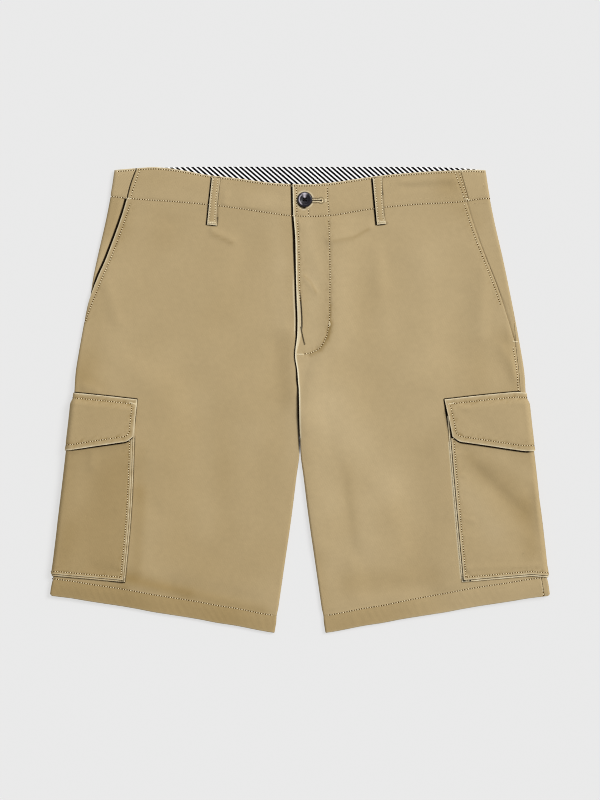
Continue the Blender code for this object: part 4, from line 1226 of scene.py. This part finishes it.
def cargo_pocket(leg):
    edge = CARGO_EDGE[leg]
    sides = wrapped(edge, CARGO_WIDTH)
    across = graded(CARGO_WIDTH, 2.4, (0, 1, 0.25), (0, 6, 0.6), (68, 92, 0.9), (157, 158, 0.3))
    flap_step = 154.0
    along = graded(188, 2.4, (0, 1, 0.25), (0, 6, 0.6), (flap_step - 6, flap_step + 2, 0.5))
    low = from_middle(CARGO_BOTTOM, edge, CARGO_WIDTH, leg)
    flap_low = from_middle(FLAP_BOTTOM, FLAP_EDGE[leg], FLAP_WIDTH, leg)
    mouth = lambda x, s: CARGO_MOUTH_Y + 0 * x
    grid = plot(FRONT, leg, sides, low, mouth, across, along, level=(flap_step, flap_low))
    x, y, spread = grid["x"], grid["y"], leg * grid["spread"]
    below_flap = flap_low(x, grid["spread"]) - y
    to_fold = fold_spread(y) - spread
    # Painted shadow under the flap's lower edge
    if leg == LEFT:
        wide = np.interp(to_fold, (-90, 0, 10, 60, 90), (1.0, 1.0, 1.0, 1.1, 1.1))
        painted_shade = shadow(below_flap, wide, 1.6, 0.98) + 0.16 * np.exp(-np.maximum(below_flap, 0) / 4)
    else:
        wide = np.interp(to_fold, (-90, 0, 8, 20, 60, 72, 76), (0.4, 0.3, 0.4, 0.7, 1.0, 0.7, 0.1))
        painted_shade = shadow(below_flap, wide, 1.5, 0.92) + 0.22 * np.exp(-np.maximum(below_flap, 0) / 5)
    in_front = ease(to_fold / 8)
    sunk = pulled_in(x, y, cargo_rows(leg), 0.3)
    level = POCKET_OUT + sunk + creased(x, y, POCKET_CREASES[leg]) * in_front
    kinds = ("fold", "fold", "fold", "tucked")
    # Darker colouring: the pocket cloth's tone, uneven dyeing, painted shade and light beside its folds,
    # and painted shade in the stitched rows
    dye_and_shade = CARGO_DYE_AND_SHADE[leg] + creased(x, y, POCKET_DYE_AND_SHADE[leg]) * in_front + 0.6 * np.clip(-sunk, 0, 0.3)
    patch = shell(grid, level, TRIM, kinds, painted_shade * in_front, 0.0, 0.5, dye_and_shade)
    return cut_and_sewn("cargo_pocket_" + SIDE[leg], [patch])


def cargo_gusset(leg):
    """Three strips under the pocket's front, lower and back edges, each showing a little beyond it."""
    edge, out = CARGO_EDGE[leg], GUSSET_SHOWS
    low = from_middle(CARGO_BOTTOM, edge, CARGO_WIDTH, leg, -out)
    inner_low = from_middle(CARGO_BOTTOM, edge, CARGO_WIDTH, leg, GUSSET_WIDTH - out)
    mouth = lambda x, s: CARGO_MOUTH_Y - 2 + 0 * x
    narrow = graded(GUSSET_WIDTH, 1.4, (0, 3.0, 0.3), (GUSSET_WIDTH - 0.5, GUSSET_WIDTH, 0.3))
    long = graded(190, 3.0, (0, 1, 0.3))
    round_it = graded(CARGO_WIDTH + 2 * out, 3.0, (0, 1, 0.3), (68, 94, 1.0), (160.6, 161.6, 0.3))
    back_strip = wrapped(edge, CARGO_WIDTH + out, CARGO_WIDTH + out - GUSSET_WIDTH)
    front = plot(FRONT, leg, wrapped(edge, GUSSET_WIDTH - out, -out), low, mouth, narrow, long)
    back = plot(FRONT, leg, back_strip, low, mouth, narrow, long)
    under = plot(FRONT, leg, wrapped(edge, CARGO_WIDTH, -out, -out), low, inner_low, round_it, narrow)
    dark, edge_wear_and_highlight = {LEFT: (0.95, 1.0), RIGHT: (0.5, 0.5)}[leg]
    strips = []
    for grid, steps_in, share, first, last in (
        (front, front["u"], 1.0, "fold", "tucked"),
        (back, back["ends"][1], 1.0, "tucked", "fold"),
        (under, under["v"], 0.7, "fold", "fold"),
    ):
        # Painted shade where the pocket's edge lies over the gusset
        painted_shade = share * shadow(GUSSET_SHOWS - steps_in, 0.35, 0.6, dark)
        kinds = (first, last, "fold", "tucked")
        strips.append(shell(grid, GUSSET_OUT, TRIM, kinds, painted_shade, 0.0, edge_wear_and_highlight, CARGO_DYE_AND_SHADE[leg]))
    cut_and_sewn("cargo_gusset_" + SIDE[leg], strips)


def cargo_flap(leg):
    edge = FLAP_EDGE[leg]
    sides = wrapped(edge, FLAP_WIDTH)
    across = graded(FLAP_WIDTH, 2.0, (0, 1, 0.25), (0, 12, 0.7), (70, 96, 0.9), (169, 170, 0.3))
    along = graded(60, 1.4, (0, 1, 0.25), (0, 8, 0.7), (59, 60, 0.25), (50, 60, 0.7))
    low = from_middle(FLAP_BOTTOM, edge, FLAP_WIDTH, leg)
    high = from_middle(FLAP_TOP, edge, FLAP_WIDTH, leg)
    grid = plot(FRONT, leg, sides, low, high, across, along)
    below_top = grid["ends"][3]
    x, y = grid["x"], grid["y"]
    level = GUSSET_OUT + (FLAP_OUT - GUSSET_OUT) * ease((below_top - 5) / 9)
    in_front = ease((fold_spread(y) - leg * grid["spread"]) / 8)
    sunk = pulled_in(x, y, flap_rows(leg), 0.3)
    level = level + sunk + creased(x, y, FLAP_CREASES[leg]) * in_front
    # Darker colouring: the pocket cloth's tone with painted shade, and painted shade in the stitched rows
    dye_and_shade = CARGO_DYE_AND_SHADE[leg] * 0.55 + 1.1 * np.clip(-sunk, 0, 0.3)
    flap = shell(grid, level, TRIM, ("fold",) * 4, 0.0, 0.0, 0.7, dye_and_shade)
    return cut_and_sewn("cargo_flap_" + SIDE[leg], [flap])


cargo_gusset(LEFT)
cargo_gusset(RIGHT)
pockets = [cargo_pocket(LEFT), cargo_pocket(RIGHT)]
flaps = [cargo_flap(LEFT), cargo_flap(RIGHT)]
topstitched("cargo_pocket_stitches", pockets, cargo_rows(LEFT) + cargo_rows(RIGHT))
topstitched("cargo_flap_stitches", flaps, flap_rows(LEFT) + flap_rows(RIGHT))
corner_tacks = [through((171.6, -5.6), (178.6, -4.0)), through((-197.6, -3.4), (-190.0, -5.6))]
bartacked("cargo_flap_bartacks", flaps, corner_tacks)

# ---- Waistband ----------------------------------------------------------------------------------
# A doubled and stiffened band of the same twill, sewn on along its lower edge and edge-stitched
# all round. Striped shirting faces it inside the back, and shows above the front's dip.

WAIST_TOP_FRONT = table(
    "x  y",
    (-215, 266.4), (-190, 268.4), (-168, 269.6), (-152, 268.2), (-132, 265.2), (-109, 260.8),
    (-72, 256.6), (-40, 252.2), (-11, 250.1), (18, 250.1), (47, 253.0), (70, 256.6), (100, 260.5),
    (135, 263.5), (173, 265.6), (199, 266.6), (215, 266.2),
)
WAIST_TOP_BACK = table(
    "x  y",
    (-215, 265.6), (-190, 267.4), (-160, 269.0), (-120, 269.9), (0, 270.0), (120, 269.9), (160, 269.6),
    (190, 268.3), (215, 266.2),
)
BAND_JOIN = {
    LEFT: table("y  x", (230, 196.3), (266, 186.0)),
    RIGHT: table("y  x", (232, 201.2), (240, 199.4), (251, 196.4), (267, 190.4)),
}
UNDERLAP_END = 22.0
FACING_HALF = 205.0
FACING_CLEAR = 2.0


def band_end(y):
    """The left band's end at the fly."""
    return -7.9 - (y - 212) * 0.022


LOOP_SIDE = {
    LEFT: table("y  x", (200, 88.5), (260, 82.7)),
    RIGHT: table("y  x", (200, 108.7), (260, 102.4)),
}
BAND_CREASES = table(
    "x0   y0    x1    y1    left  right  height",
    (118, 252, 178, 256, 4, 5, 0.7),
    (122, 246, 172, 248, 5, 5, -0.6),
    (-88, 228, -86, 238, 4, 5, 0.7),
    (-60, 224, -20, 226, 9, 7, 0.6),
    (-55, 246, -30, 240, 8, 8, -0.5),
    (50, 225, 80, 240, 10, 10, 0.5),
    (-170, 240, -120, 250, 12, 10, 0.6),
    (-205, 240, -198, 262, 4, 5, 0.5),
)
BAND_TOP_ROW = 2.2  # the edge stitching, below the band's top
BAND_SEAM_ROW = 0.9  # and above its seam
BUTTON_X, BUTTON_Y = 5.6, 231.9
BUTTON_RADIUS = 8.9
SLIT_START, SLIT_END, SLIT_Y = 12.5, 24.4, 230.7


def band_seams(leg):
    """The upright stitched rows of a front waistband: at the joins, the fly's end and its facing."""
    if leg == LEFT:
        joins = [through((180.4, 262), (190.9, 232.6)), through((185.0, 261.6), (194.2, 233.0))]
        fly_end = through((band_end(240) + 4.2, 246.5), (band_end(212) + 4.4, 213.6))
        return [*joins, fly_end, through((31.3, 249.0), (33.6, 213.0)), through((9.8, 220.0), (9.7, 213.4))]
    return [through((-186.4, 264.6), (-191.4, 251.0), (-196.2, 235.0))]


def buttonhole(x, y):
    """The keyhole buttonhole: painted shade in its cut and eye and along its sewn outline, which also sinks
    the cloth there.
    """
    away, _ = from_line(x, y, SLIT_START, SLIT_Y, SLIT_END, SLIT_Y)
    from_eye = np.hypot(x - SLIT_END, y - SLIT_Y)
    cut = np.maximum(shadow(away, 0.35, 0.45, 0.9), shadow(from_eye, 0.8, 0.5, 0.98))
    outline = shadow(np.abs(np.minimum(away - 2.6, from_eye - 3.5)), 0.3, 0.5, 0.75)
    return cut, outline * np.interp(x, (8, 20, 27, 30), (1, 0.9, 0.5, 0.1))


def groove(away, row, deep, wide):
    """How far a row of stitches pulls the band's edge in."""
    return deep * np.exp(-(((away - row) / wide) ** 2))


def waistband_front(leg):
    def sides(y):
        start = -UNDERLAP_END + 0 * y if leg == RIGHT else band_end(y)
        return start, read(BAND_JOIN[leg], y) - GAP / 2

    hole_wide, hole_high = {LEFT: ((20, 45, 0.45), ((14, 23, 0.4),)), RIGHT: ((28, 35, 0.45), ())}[leg]
    loop_step = {LEFT: 98.0, RIGHT: 127.0}[leg]
    by_loop = (loop_step - 4, loop_step + 4, 0.5)
    across = graded(205, 1.8, (0, 1, 0.25), (0, 7, 0.6), hole_wide, by_loop, (204, 205, 0.3))
    along = graded(35, 1.4, (0, 1, 0.25), (0, 4, 0.6), *hole_high, (34, 35, 0.25), (30, 35, 0.6))
    guide = (loop_step, lambda y: read(LOOP_SIDE[leg], y))
    low, high = line(WAIST_SEAM_FRONT, 0.03), line(WAIST_TOP_FRONT)
    grid = plot(FRONT, leg, sides, low, high, across, along, upright=guide)
    x, y = grid["x"], grid["y"]
    above_seam, below_top = grid["ends"][2], grid["ends"][3]
    level = BAND_OUT * ease(above_seam / 4) + (lap(x, y) if leg == LEFT else 0 * x)
    level = level + creased(x, y, BAND_CREASES) * ease(above_seam / 5) * ease(below_top / 5)
    level = level + pulled_in(x, y, band_seams(leg)) - groove(above_seam, BAND_SEAM_ROW, 0.1, 1.1)
    top_row = groove(below_top, BAND_TOP_ROW, 0.25, 1.2)
    level = level - top_row
    # Darker colouring: uneven dyeing, and painted shade in the top row's groove
    dye_and_shade = creased(x, y, DYE_AND_SHADE) + top_row
    # Painted shade round the belt loop
    painted_shade = beside_loop(x, y, leg)
    if leg == RIGHT:
        # Painted shade where the left band's end lies over this one, and at the side join
        under_end = shadow(band_end(y) - x, 1.9, 1.0, 0.98)
        painted_shade = np.max([painted_shade, under_end, shadow(grid["ends"][1], 0.5, 0.9, 0.85)], axis=0)
        wear_and_highlight = 0.0
    else:
        # Painted shade in the buttonhole's cut and along its outline, and a painted shadow below and left
        # of the button; a pale ring of painted highlight round the button and its shadow, and wear and
        # painted highlight along the band's end
        cut, outline = buttonhole(x, y)
        from_rim = np.hypot(x - BUTTON_X, y - BUTTON_Y) - BUTTON_RADIUS
        from_shade = np.hypot(x - BUTTON_X + 0.2, y - BUTTON_Y + 1.8) - BUTTON_RADIUS + 0.3
        below_left = ease((BUTTON_X + 3 - x) / 3)
        under_button = shadow(from_shade, 0.0, 0.5, 0.95) * below_left
        level = level - 0.5 * cut - 0.25 * outline
        painted_shade = np.max([painted_shade, cut, outline, under_button], axis=0)
        from_rim = np.minimum(from_rim, from_shade + 6 * (1 - below_left))
        wear_and_highlight = 0.6 * np.exp(-(((from_rim - 1.0) / 0.7) ** 2)) * (1 - outline)
        wear_and_highlight = np.maximum(wear_and_highlight, 0.8 * np.exp(-(((x - band_end(y) - 0.5) / 0.8) ** 2)))
    band = shell(grid, level, BAND, ("fold", "seam", "joined", "fold"), painted_shade, wear_and_highlight, dye_and_shade=dye_and_shade)
    return cut_and_sewn("waistband_front_" + SIDE[leg], [band])


def across_the_back(ends, low, high, across, along):
    """A grid from side to side over the back; low and high take x and whether a point is in front."""
    def folded(tab_line):
        return lambda x, spread: tab_line(x, np.abs(spread) > fold_spread(tab_line(x, False)))

    return plot(BACK, LEFT, ends, folded(low), folded(high), across, along)


def back_band_seam(x, in_front):
    return np.where(in_front, read(WAIST_SEAM_FRONT, x), read(WAIST_SEAM_BACK, x)) + 0.03


def back_band_top(x, in_front):
    return np.where(in_front, read(WAIST_TOP_FRONT, x), read(WAIST_TOP_BACK, x))


def back_band_ends(y):
    reach = 2 * fold_spread(y) - GAP / 2
    return read(BAND_JOIN[RIGHT], y) - reach, reach - read(BAND_JOIN[LEFT], y)


across = graded(490, 4.0, (0, 1, 0.3), (0, 50, 1.4), (440, 490, 1.4), (489, 490, 0.3))
along = graded(35, 1.6, (0, 4, 0.6), (30, 35, 0.6), (34.4, 35, 0.3))
grid = across_the_back(back_band_ends, back_band_seam, back_band_top, across, along)
above_seam, below_top = grid["ends"][2], grid["ends"][3]
level = BAND_OUT * ease(above_seam / 4) - groove(below_top, BAND_TOP_ROW, 0.25, 1.2)
level = level - groove(above_seam, BAND_SEAM_ROW, 0.28, 1.1)
# Painted shade along the band's first end, at the right front band's join
band = shell(grid, level, BAND, ("seam", "seam", "joined", "fold"), shadow(grid["ends"][0], 0.2, 0.5, 0.8))
waistband_back = cut_and_sewn("waistband_back", [band])

DARK_SHARE = 0.56


def striped_shirting(name, dark, pale, period_mm, slope):
    """Woven shirting with near-even navy-black and white stripes on the slant."""
    material, tree, shader = finish(name, 0.8, 0.1)
    cloth_map = node(tree, "ShaderNodeUVMap", uv_map="cloth").outputs["UV"]
    on_the_slant = {"Vector": cloth_map, "Rotation": (0, 0, math.radians(slope))}
    turned = node(tree, "ShaderNodeMapping", on_the_slant).outputs[0]
    apart = node(tree, "ShaderNodeSeparateXYZ", {0: turned}).outputs["Y"]
    count = node(tree, "ShaderNodeMath", {0: apart, 1: 1000 / period_mm}, operation="MULTIPLY").outputs[0]
    share = node(tree, "ShaderNodeMath", {0: count}, operation="FRACT").outputs[0]
    which = node(tree, "ShaderNodeMath", {0: share, 1: DARK_SHARE}, operation="GREATER_THAN").outputs[0]
    mixed = node(tree, "ShaderNodeMix", {0: which, 6: linear(dark), 7: linear(pale)}, data_type="RGBA")
    place = node(tree, "ShaderNodeTexCoord").outputs["Object"]
    weave = node(tree, "ShaderNodeTexNoise", {"Vector": place, "Scale": 1500.0}).outputs["Fac"]
    bump = node(tree, "ShaderNodeBump", {"Height": weave, "Strength": 0.2, "Distance": 0.0002}).outputs[0]
    tree.links.new(mixed.outputs[2], shader.inputs["Base Color"])
    tree.links.new(bump, shader.inputs["Normal"])
    return material


def facing_ends(y):
    return -FACING_HALF + 0 * y, FACING_HALF + 0 * y


def facing_low(x, in_front):
    return read(WAIST_SEAM_BACK, x) + FACING_CLEAR


def facing_top(x, in_front):
    return read(WAIST_TOP_BACK, x)


shirting = striped_shirting("striped cotton shirting", "050508", "FFFFFF", 4.06, 40.7)
across = graded(2 * FACING_HALF, 3.0)
along = graded(34, 2.0, (0, 0.5, 0.3), (33, 34, 0.3))
grid = across_the_back(facing_ends, facing_low, facing_top, across, along)
facing = shell(grid, BAND_OUT - BAND - GAP, TRIM, ("tucked", "tucked", "tucked", "fold"))
cut_and_sewn("waistband_facing_back", [facing], shirting)

waistband_left, waistband_right = waistband_front(LEFT), waistband_front(RIGHT)
bands = [waistband_left, waistband_right, waistband_back]
band_rows = [
    above(WAIST_TOP_FRONT, -212, 212, -BAND_TOP_ROW),
    above(WAIST_SEAM_FRONT, -219, 219, BAND_SEAM_ROW),
]
topstitched("waistband_stitches", bands, band_rows + band_seams(LEFT) + band_seams(RIGHT))
around = np.linspace(-212, 212, 425)
behind = [
    np.stack([around, read(tab, around) + shift], axis=-1)
    for tab, shift in ((WAIST_TOP_BACK, -BAND_TOP_ROW), (WAIST_SEAM_BACK, BAND_SEAM_ROW))
]
topstitched("waistband_stitches_behind", [waistband_back], behind, BACK)
tacks = [through((-200.6, 233.4), (-196.8, 233.0)), through((192.2, 232.6), (196.6, 231.8))]
bartacked("waistband_bartacks", bands, tacks, 2.4)

# ---- Belt loops ---------------------------------------------------------------------------------
# Narrow straps of folded twill with a row of stitches along each edge, tacked to the waistband's
# top and below its seam. The two front ones stand off the band; the back lies on the other three.

LOOP_WIDTH = 12.0
LOOP_ARCH = 1.2
# Each loop's face and its top and foot
LOOPS = {
    "belt_loop_front_left": (FRONT, *LOOP_FOOT[LEFT]),
    "belt_loop_front_right": (FRONT, *LOOP_FOOT[RIGHT]),
    "belt_loop_back_left": (BACK, (122.0, 268.6), (125.0, 205.0)),
    "belt_loop_back_centre": (BACK, (0.0, 268.8), (0.0, 205.0)),
    "belt_loop_back_right": (BACK, (-122.0, 268.6), (-125.0, 205.0)),
}
# Its two stitched rows: how far from its middle they lie, from its foot up
PLAIN_ROWS = (table("up  across", (0, -3.0), (65, -3.0)), table("up  across", (0, 3.9), (65, 3.9)))
LOOP_ROWS = {
    "belt_loop_front_left": (
        table("up  across", (0, -4.0), (55, -4.0)),
        table("up  across", (5, 1.6), (25, 1.9), (52, 3.4)),
    ),
    "belt_loop_front_right": (
        table("up  across", (0, -4.3), (55, -4.3)),
        table("up  across", (5, 2.4), (25, 1.2), (52, 1.0)),
    ),
}


def belt_loop(name, face, top, foot):
    top, foot = np.array(top), np.array(foot)
    long = float(np.hypot(*(foot - top)))
    across = graded(LOOP_WIDTH, 1.0, (0, 1, 0.2), (11, 12, 0.2))
    u, v = np.meshgrid(across, graded(long, 1.4, (0, 1, 0.25), (long - 1, long, 0.25)))
    along_x, along_y = (top - foot) / long
    rolled = read(LOOP_ROLLED[LEFT if "left" in name else RIGHT], v) if face == FRONT else 0.0
    across = u * (1 - rolled / LOOP_WIDTH) - LOOP_WIDTH / 2
    x = foot[0] + along_x * v + along_y * across
    y = foot[1] + along_y * v - along_x * across
    arch = LOOP_ARCH * np.sin(math.pi * v / long) if face == FRONT else 0.0
    crown = 0.25 * np.sin(math.pi * u / LOOP_WIDTH)
    ends = [u, LOOP_WIDTH - u, v, long - v]
    drop, rise, pale = edged(ends, ("fold",) * 4, TRIM, edge_wear_and_highlight=(0.65, 0.2, 0.7, 0.2))
    for row in LOOP_ROWS.get(name, PLAIN_ROWS):
        drop = drop + 0.22 * np.exp(-(((across - read(row, v)) / 0.9) ** 2))
    faces = []
    for level in (LOOP_OUT + arch + crown - drop - 0.25, LOOP_OUT + arch - TRIM + rise):
        z = lay(face, foot[0] + along_x * v, foot[1] + along_y * v, level)[..., 2]
        faces.append(np.stack([x, y, z], axis=-1))
    strap = {
        "outer": faces[0],
        "inner": faces[1],
        "map": np.stack([u, v], axis=-1) * MM,
        "wear_and_highlight": np.clip(pale, 0, 1),
        "painted_shade": 0.0 * u,
        "dye_and_shade": 0.08 + 0.0 * u,
        "turned": face == BACK,
    }
    made = cut_and_sewn(name, [strap])
    up, rows = np.arange(5.0, long - 2.0), []
    for row in LOOP_ROWS.get(name, PLAIN_ROWS):
        off = read(row, up)
        row_x, row_y = foot[0] + along_x * up + along_y * off, foot[1] + along_y * up - along_x * off
        rows.append(np.stack([row_x, row_y], axis=-1))
    topstitched(name + "_stitches", [made], rows, face, hole=1.0)
    return made


loops = {name: belt_loop(name, *place) for name, place in LOOPS.items()}
tacks = [through((x - 4.4, y + 2.9), (x + 3.7, y + 2.5)) for _, (x, y) in LOOP_FOOT.values()]
front_loops = [loops["belt_loop_front_" + side] for side in SIDE.values()]
bartacked("belt_loop_bartacks", front_loops, tacks, 3.2)

# ---- Button and buttonhole ----------------------------------------------------------------------
# A 28-line button turned from dark navy imitation horn, with a rim, a dished middle and four holes,
# sewn on with crossed thread. The keyhole buttonhole beside it is whipped and barred with thread.

BUTTON_PROFILE = table(
    "from_middle  height",
    (0.0, 1.30), (3.2, 1.34), (4.4, 1.62), (5.3, 2.20), (6.2, 2.58), (7.1, 2.60), (7.9, 2.34),
    (8.5, 1.80), (8.9, 1.10),
)
BUTTON_MIDDLE = 1.30  # how thick its dished middle is
HOLE_OFF = 1.55
HOLE_RADIUS = 0.72


def polished_horn(name, dark, pale, highlight_colour):
    """Cast imitation horn, polished: dark navy with a faint drift of brown, under a clear gloss.

    A pale wedge above its middle and a crescent at its left are painted highlights.
    """
    material, tree, shader = finish(name, 0.4, 0.3)
    shader.inputs["Coat Weight"].default_value = 0.15
    shader.inputs["Coat Roughness"].default_value = 0.2
    place = node(tree, "ShaderNodeTexCoord").outputs["Object"]
    streaks = node(tree, "ShaderNodeMapping", {"Vector": place, "Scale": (1.0, 3.5, 1.0)}).outputs[0]
    drift = node(tree, "ShaderNodeTexNoise", {"Vector": streaks, "Scale": 260.0, "Detail": 4.0}).outputs[0]
    painted_highlight = node(tree, "ShaderNodeAttribute", attribute_name="painted_highlight").outputs["Fac"]
    colour = linear(dark)
    for share, other in ((drift, linear(pale)), (painted_highlight, linear(highlight_colour))):
        colour = node(tree, "ShaderNodeMix", {0: share, 6: colour, 7: other}, data_type="RGBA").outputs[2]
    tree.links.new(colour, shader.inputs["Base Color"])
    return material


radii = np.concatenate([np.arange(0.12, 3.4, 0.16), np.arange(3.4, BUTTON_RADIUS, 0.3), [BUTTON_RADIUS]])
angles = np.linspace(0, 2 * math.pi, 72, endpoint=False)
ring_r, ring_a = np.meshgrid(radii, angles, indexing="ij")
off_x, off_y = ring_r * np.cos(ring_a), ring_r * np.sin(ring_a)
to_hole = np.hypot(np.abs(off_x) - HOLE_OFF, np.abs(off_y) - HOLE_OFF)
face_height = read(BUTTON_PROFILE, ring_r) - 1.0 * (1 - ease((to_hole - HOLE_RADIUS + 0.3) / 0.45))
seat = float(front_face(BUTTON_X, BUTTON_Y)) + LAP_HEIGHT + BAND_OUT + GAP
upper = np.stack([off_x + BUTTON_X, off_y + BUTTON_Y, face_height + seat], axis=-1).reshape(-1, 3)
under = [
    np.stack([r * np.cos(angles) + BUTTON_X, r * np.sin(angles) + BUTTON_Y, h + seat + 0 * angles], axis=-1)
    for r, h in ((8.55, 0.55), (7.6, 0.12), (6.0, 0.0))
]
middles = [[BUTTON_X, BUTTON_Y, BUTTON_MIDDLE + seat], [BUTTON_X, BUTTON_Y, seat]]
points = np.vstack([upper, *under, middles])
count, rings = len(angles), len(radii) + len(under)
around = np.arange(count)
onward = np.roll(around, -1)
faces = []
for k in range(rings - 1):
    inner, outer = k * count, (k + 1) * count
    faces += np.stack([inner + around, outer + around, outer + onward, inner + onward], axis=-1).tolist()
low = (rings - 1) * count
faces += [(len(points) - 2, i, j) for i, j in zip(around.tolist(), onward.tolist())]
faces += [(len(points) - 1, low + j, low + i) for i, j in zip(around.tolist(), onward.tolist())]
button_mesh = bpy.data.meshes.new("waist_button_turned")
button_mesh.from_pydata(points * MM, [], faces)
button_mesh.shade_smooth()
# Painted highlight on the face: a pale wedge above the middle and a crescent at the left
wedge = np.exp(-(((off_x + 0.3) / (0.5 + 0.27 * np.abs(off_y))) ** 2))
wedge = wedge * ease((off_y - 1.6) / 1.2) * ease((8.2 - off_y) / 1.2)
crescent = np.exp(-(((ring_r - 6.5) / 0.6) ** 2)) * ease((-off_x - 2.2) / 2.5)
painted_highlight = np.append(np.maximum(0.9 * wedge, 0.7 * crescent).reshape(-1), np.zeros(len(under) * count + 2))
button_mesh.attributes.new("painted_highlight", "FLOAT", "POINT").data.foreach_set("value", painted_highlight)
button_mesh.materials.append(polished_horn("polished navy horn", "050508", "26222E", "D8D0DA"))
button = placed("waist_button_turned", button_mesh)
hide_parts("waist_button")
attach(button, "root")


def laid_thread(name, runs, radius, material, sides=8):
    """Round thread along runs of points in space, sunk at their ends."""
    points, faces = [], []
    turn = np.linspace(0, 2 * math.pi, sides, endpoint=False)
    for run in runs:
        run = np.array(run, float)
        onward = np.gradient(run, axis=0)
        onward /= np.linalg.norm(onward, axis=1)[:, None]
        across = np.cross(onward, (0, 0, 1.0))
        across /= np.linalg.norm(across, axis=1)[:, None]
        up = np.cross(across, onward)
        first = len(points)
        for at, side, top in zip(run, across, up):
            points += list(at + radius * (np.outer(np.cos(turn), side) + np.outer(np.sin(turn), top)))
        for k in range(len(run) - 1):
            for i in range(sides):
                j = (i + 1) % sides
                a = first + k * sides
                faces.append((a + i, a + j, a + sides + j, a + sides + i))
        faces.append(tuple(first + i for i in reversed(range(sides))))
        faces.append(tuple(first + (len(run) - 1) * sides + i for i in range(sides)))
    mesh = bpy.data.meshes.new(name)
    mesh.from_pydata(np.array(points) * MM, [], faces)
    mesh.shade_smooth()
    mesh.materials.append(material)
    thread = placed(name, mesh)
    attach(thread, "root")


button_thread = matt("dark button thread", "14110F", "2A2520", 0.6, 2500.0)
crossed = []
for (x0, y0), (x1, y1), rise in (((-1, -1), (1, 1), 0.28), ((-1, 1), (1, -1), 0.72)):
    for shift in (-0.22, 0.22):
        share = np.linspace(0, 1, 11)
        sunk_end = 0.75 * (np.abs(share - 0.5) > 0.45)
        arch = seat + BUTTON_MIDDLE + rise * np.sin(math.pi * share) ** 0.5 - sunk_end
        turn_x, turn_y = shift * (y1 - y0) / 2.83, -shift * (x1 - x0) / 2.83
        run_x = BUTTON_X + HOLE_OFF * (x0 + (x1 - x0) * share) + turn_x
        run_y = BUTTON_Y + HOLE_OFF * (y0 + (y1 - y0) * share) + turn_y
        crossed.append(np.stack([run_x, run_y, arch], axis=-1))
laid_thread("waist_button_thread", crossed, 0.24, button_thread)

whipped = [
    through((SLIT_START, SLIT_Y + off), (SLIT_END - 0.9, SLIT_Y + off), step=0.5) for off in (-1.3, 1.3)
]
eye_turn = np.radians(np.linspace(-150, 150, 24))
whipped.append(np.stack([SLIT_END + 2.0 * np.cos(eye_turn), SLIT_Y + 2.0 * np.sin(eye_turn)], axis=-1))
bartacked("buttonhole_whipping", [waistband_left], whipped, 1.5)
bars = [through((29.6, SLIT_Y - 1.7), (29.6, SLIT_Y + 1.7), step=0.5)]
bartacked("buttonhole_bar", [waistband_left], bars, 3.4)

# ---- Floor, light and camera --------------------------------------------------------------------
# A plain pale floor under a broad soft light from the right and a little from the waist's side,
# with the camera straight above.

floor_mesh = bpy.data.meshes.new("floor")
floor_mesh.from_pydata([(-10, -10, 0), (10, -10, 0), (10, 10, 0), (-10, 10, 0)], [], [(0, 1, 2, 3)])
floor = placed("floor", floor_mesh)
floor_paint, _, floor_shader = finish("matt pale floor", 1.0, 0.0)
floor_shader.inputs["Base Color"].default_value = linear("7C7C7C")
floor_shader.inputs["Emission Color"].default_value = linear("FFFFFF")
floor_shader.inputs["Emission Strength"].default_value = 0.62
floor_mesh.materials.append(floor_paint)

world = bpy.data.worlds.new("soft grey studio")
bpy.context.scene.world = world
world.use_nodes = True
world.node_tree.nodes["Background"].inputs["Color"].default_value = linear("FFFFFF")
world.node_tree.nodes["Background"].inputs["Strength"].default_value = 0.36

for name, energy, spread, toward in (
    ("broad soft light", 2.50, 28, (0.62, 0.38, 0.72)),
    ("window light from the waist's side", 0.3, 9, (-0.10, 0.62, 0.78)),
):
    lamp = bpy.data.lights.new(name, "SUN")
    lamp.energy, lamp.angle = energy, math.radians(spread)
    placed(name, lamp).rotation_euler = Vector(toward).to_track_quat("Z", "Y").to_euler()

CAMERA_HEIGHT = 5.162
eye = bpy.data.cameras.new("camera")
eye.lens, eye.sensor_width = 200.0, 36.0
camera = placed("camera", eye)
camera.location = (0.0, -0.00058, CAMERA_HEIGHT)
bpy.context.scene.camera = camera
bpy.context.scene.view_settings.view_transform = "Standard"
# Stitches are only two or three pixels apart, and a wider filter or a smoothed colour pass loses them
bpy.context.scene.cycles.filter_width = 1.05
bpy.context.scene.cycles.denoising_prefilter = "NONE"

bpy.context.view_layer.update()
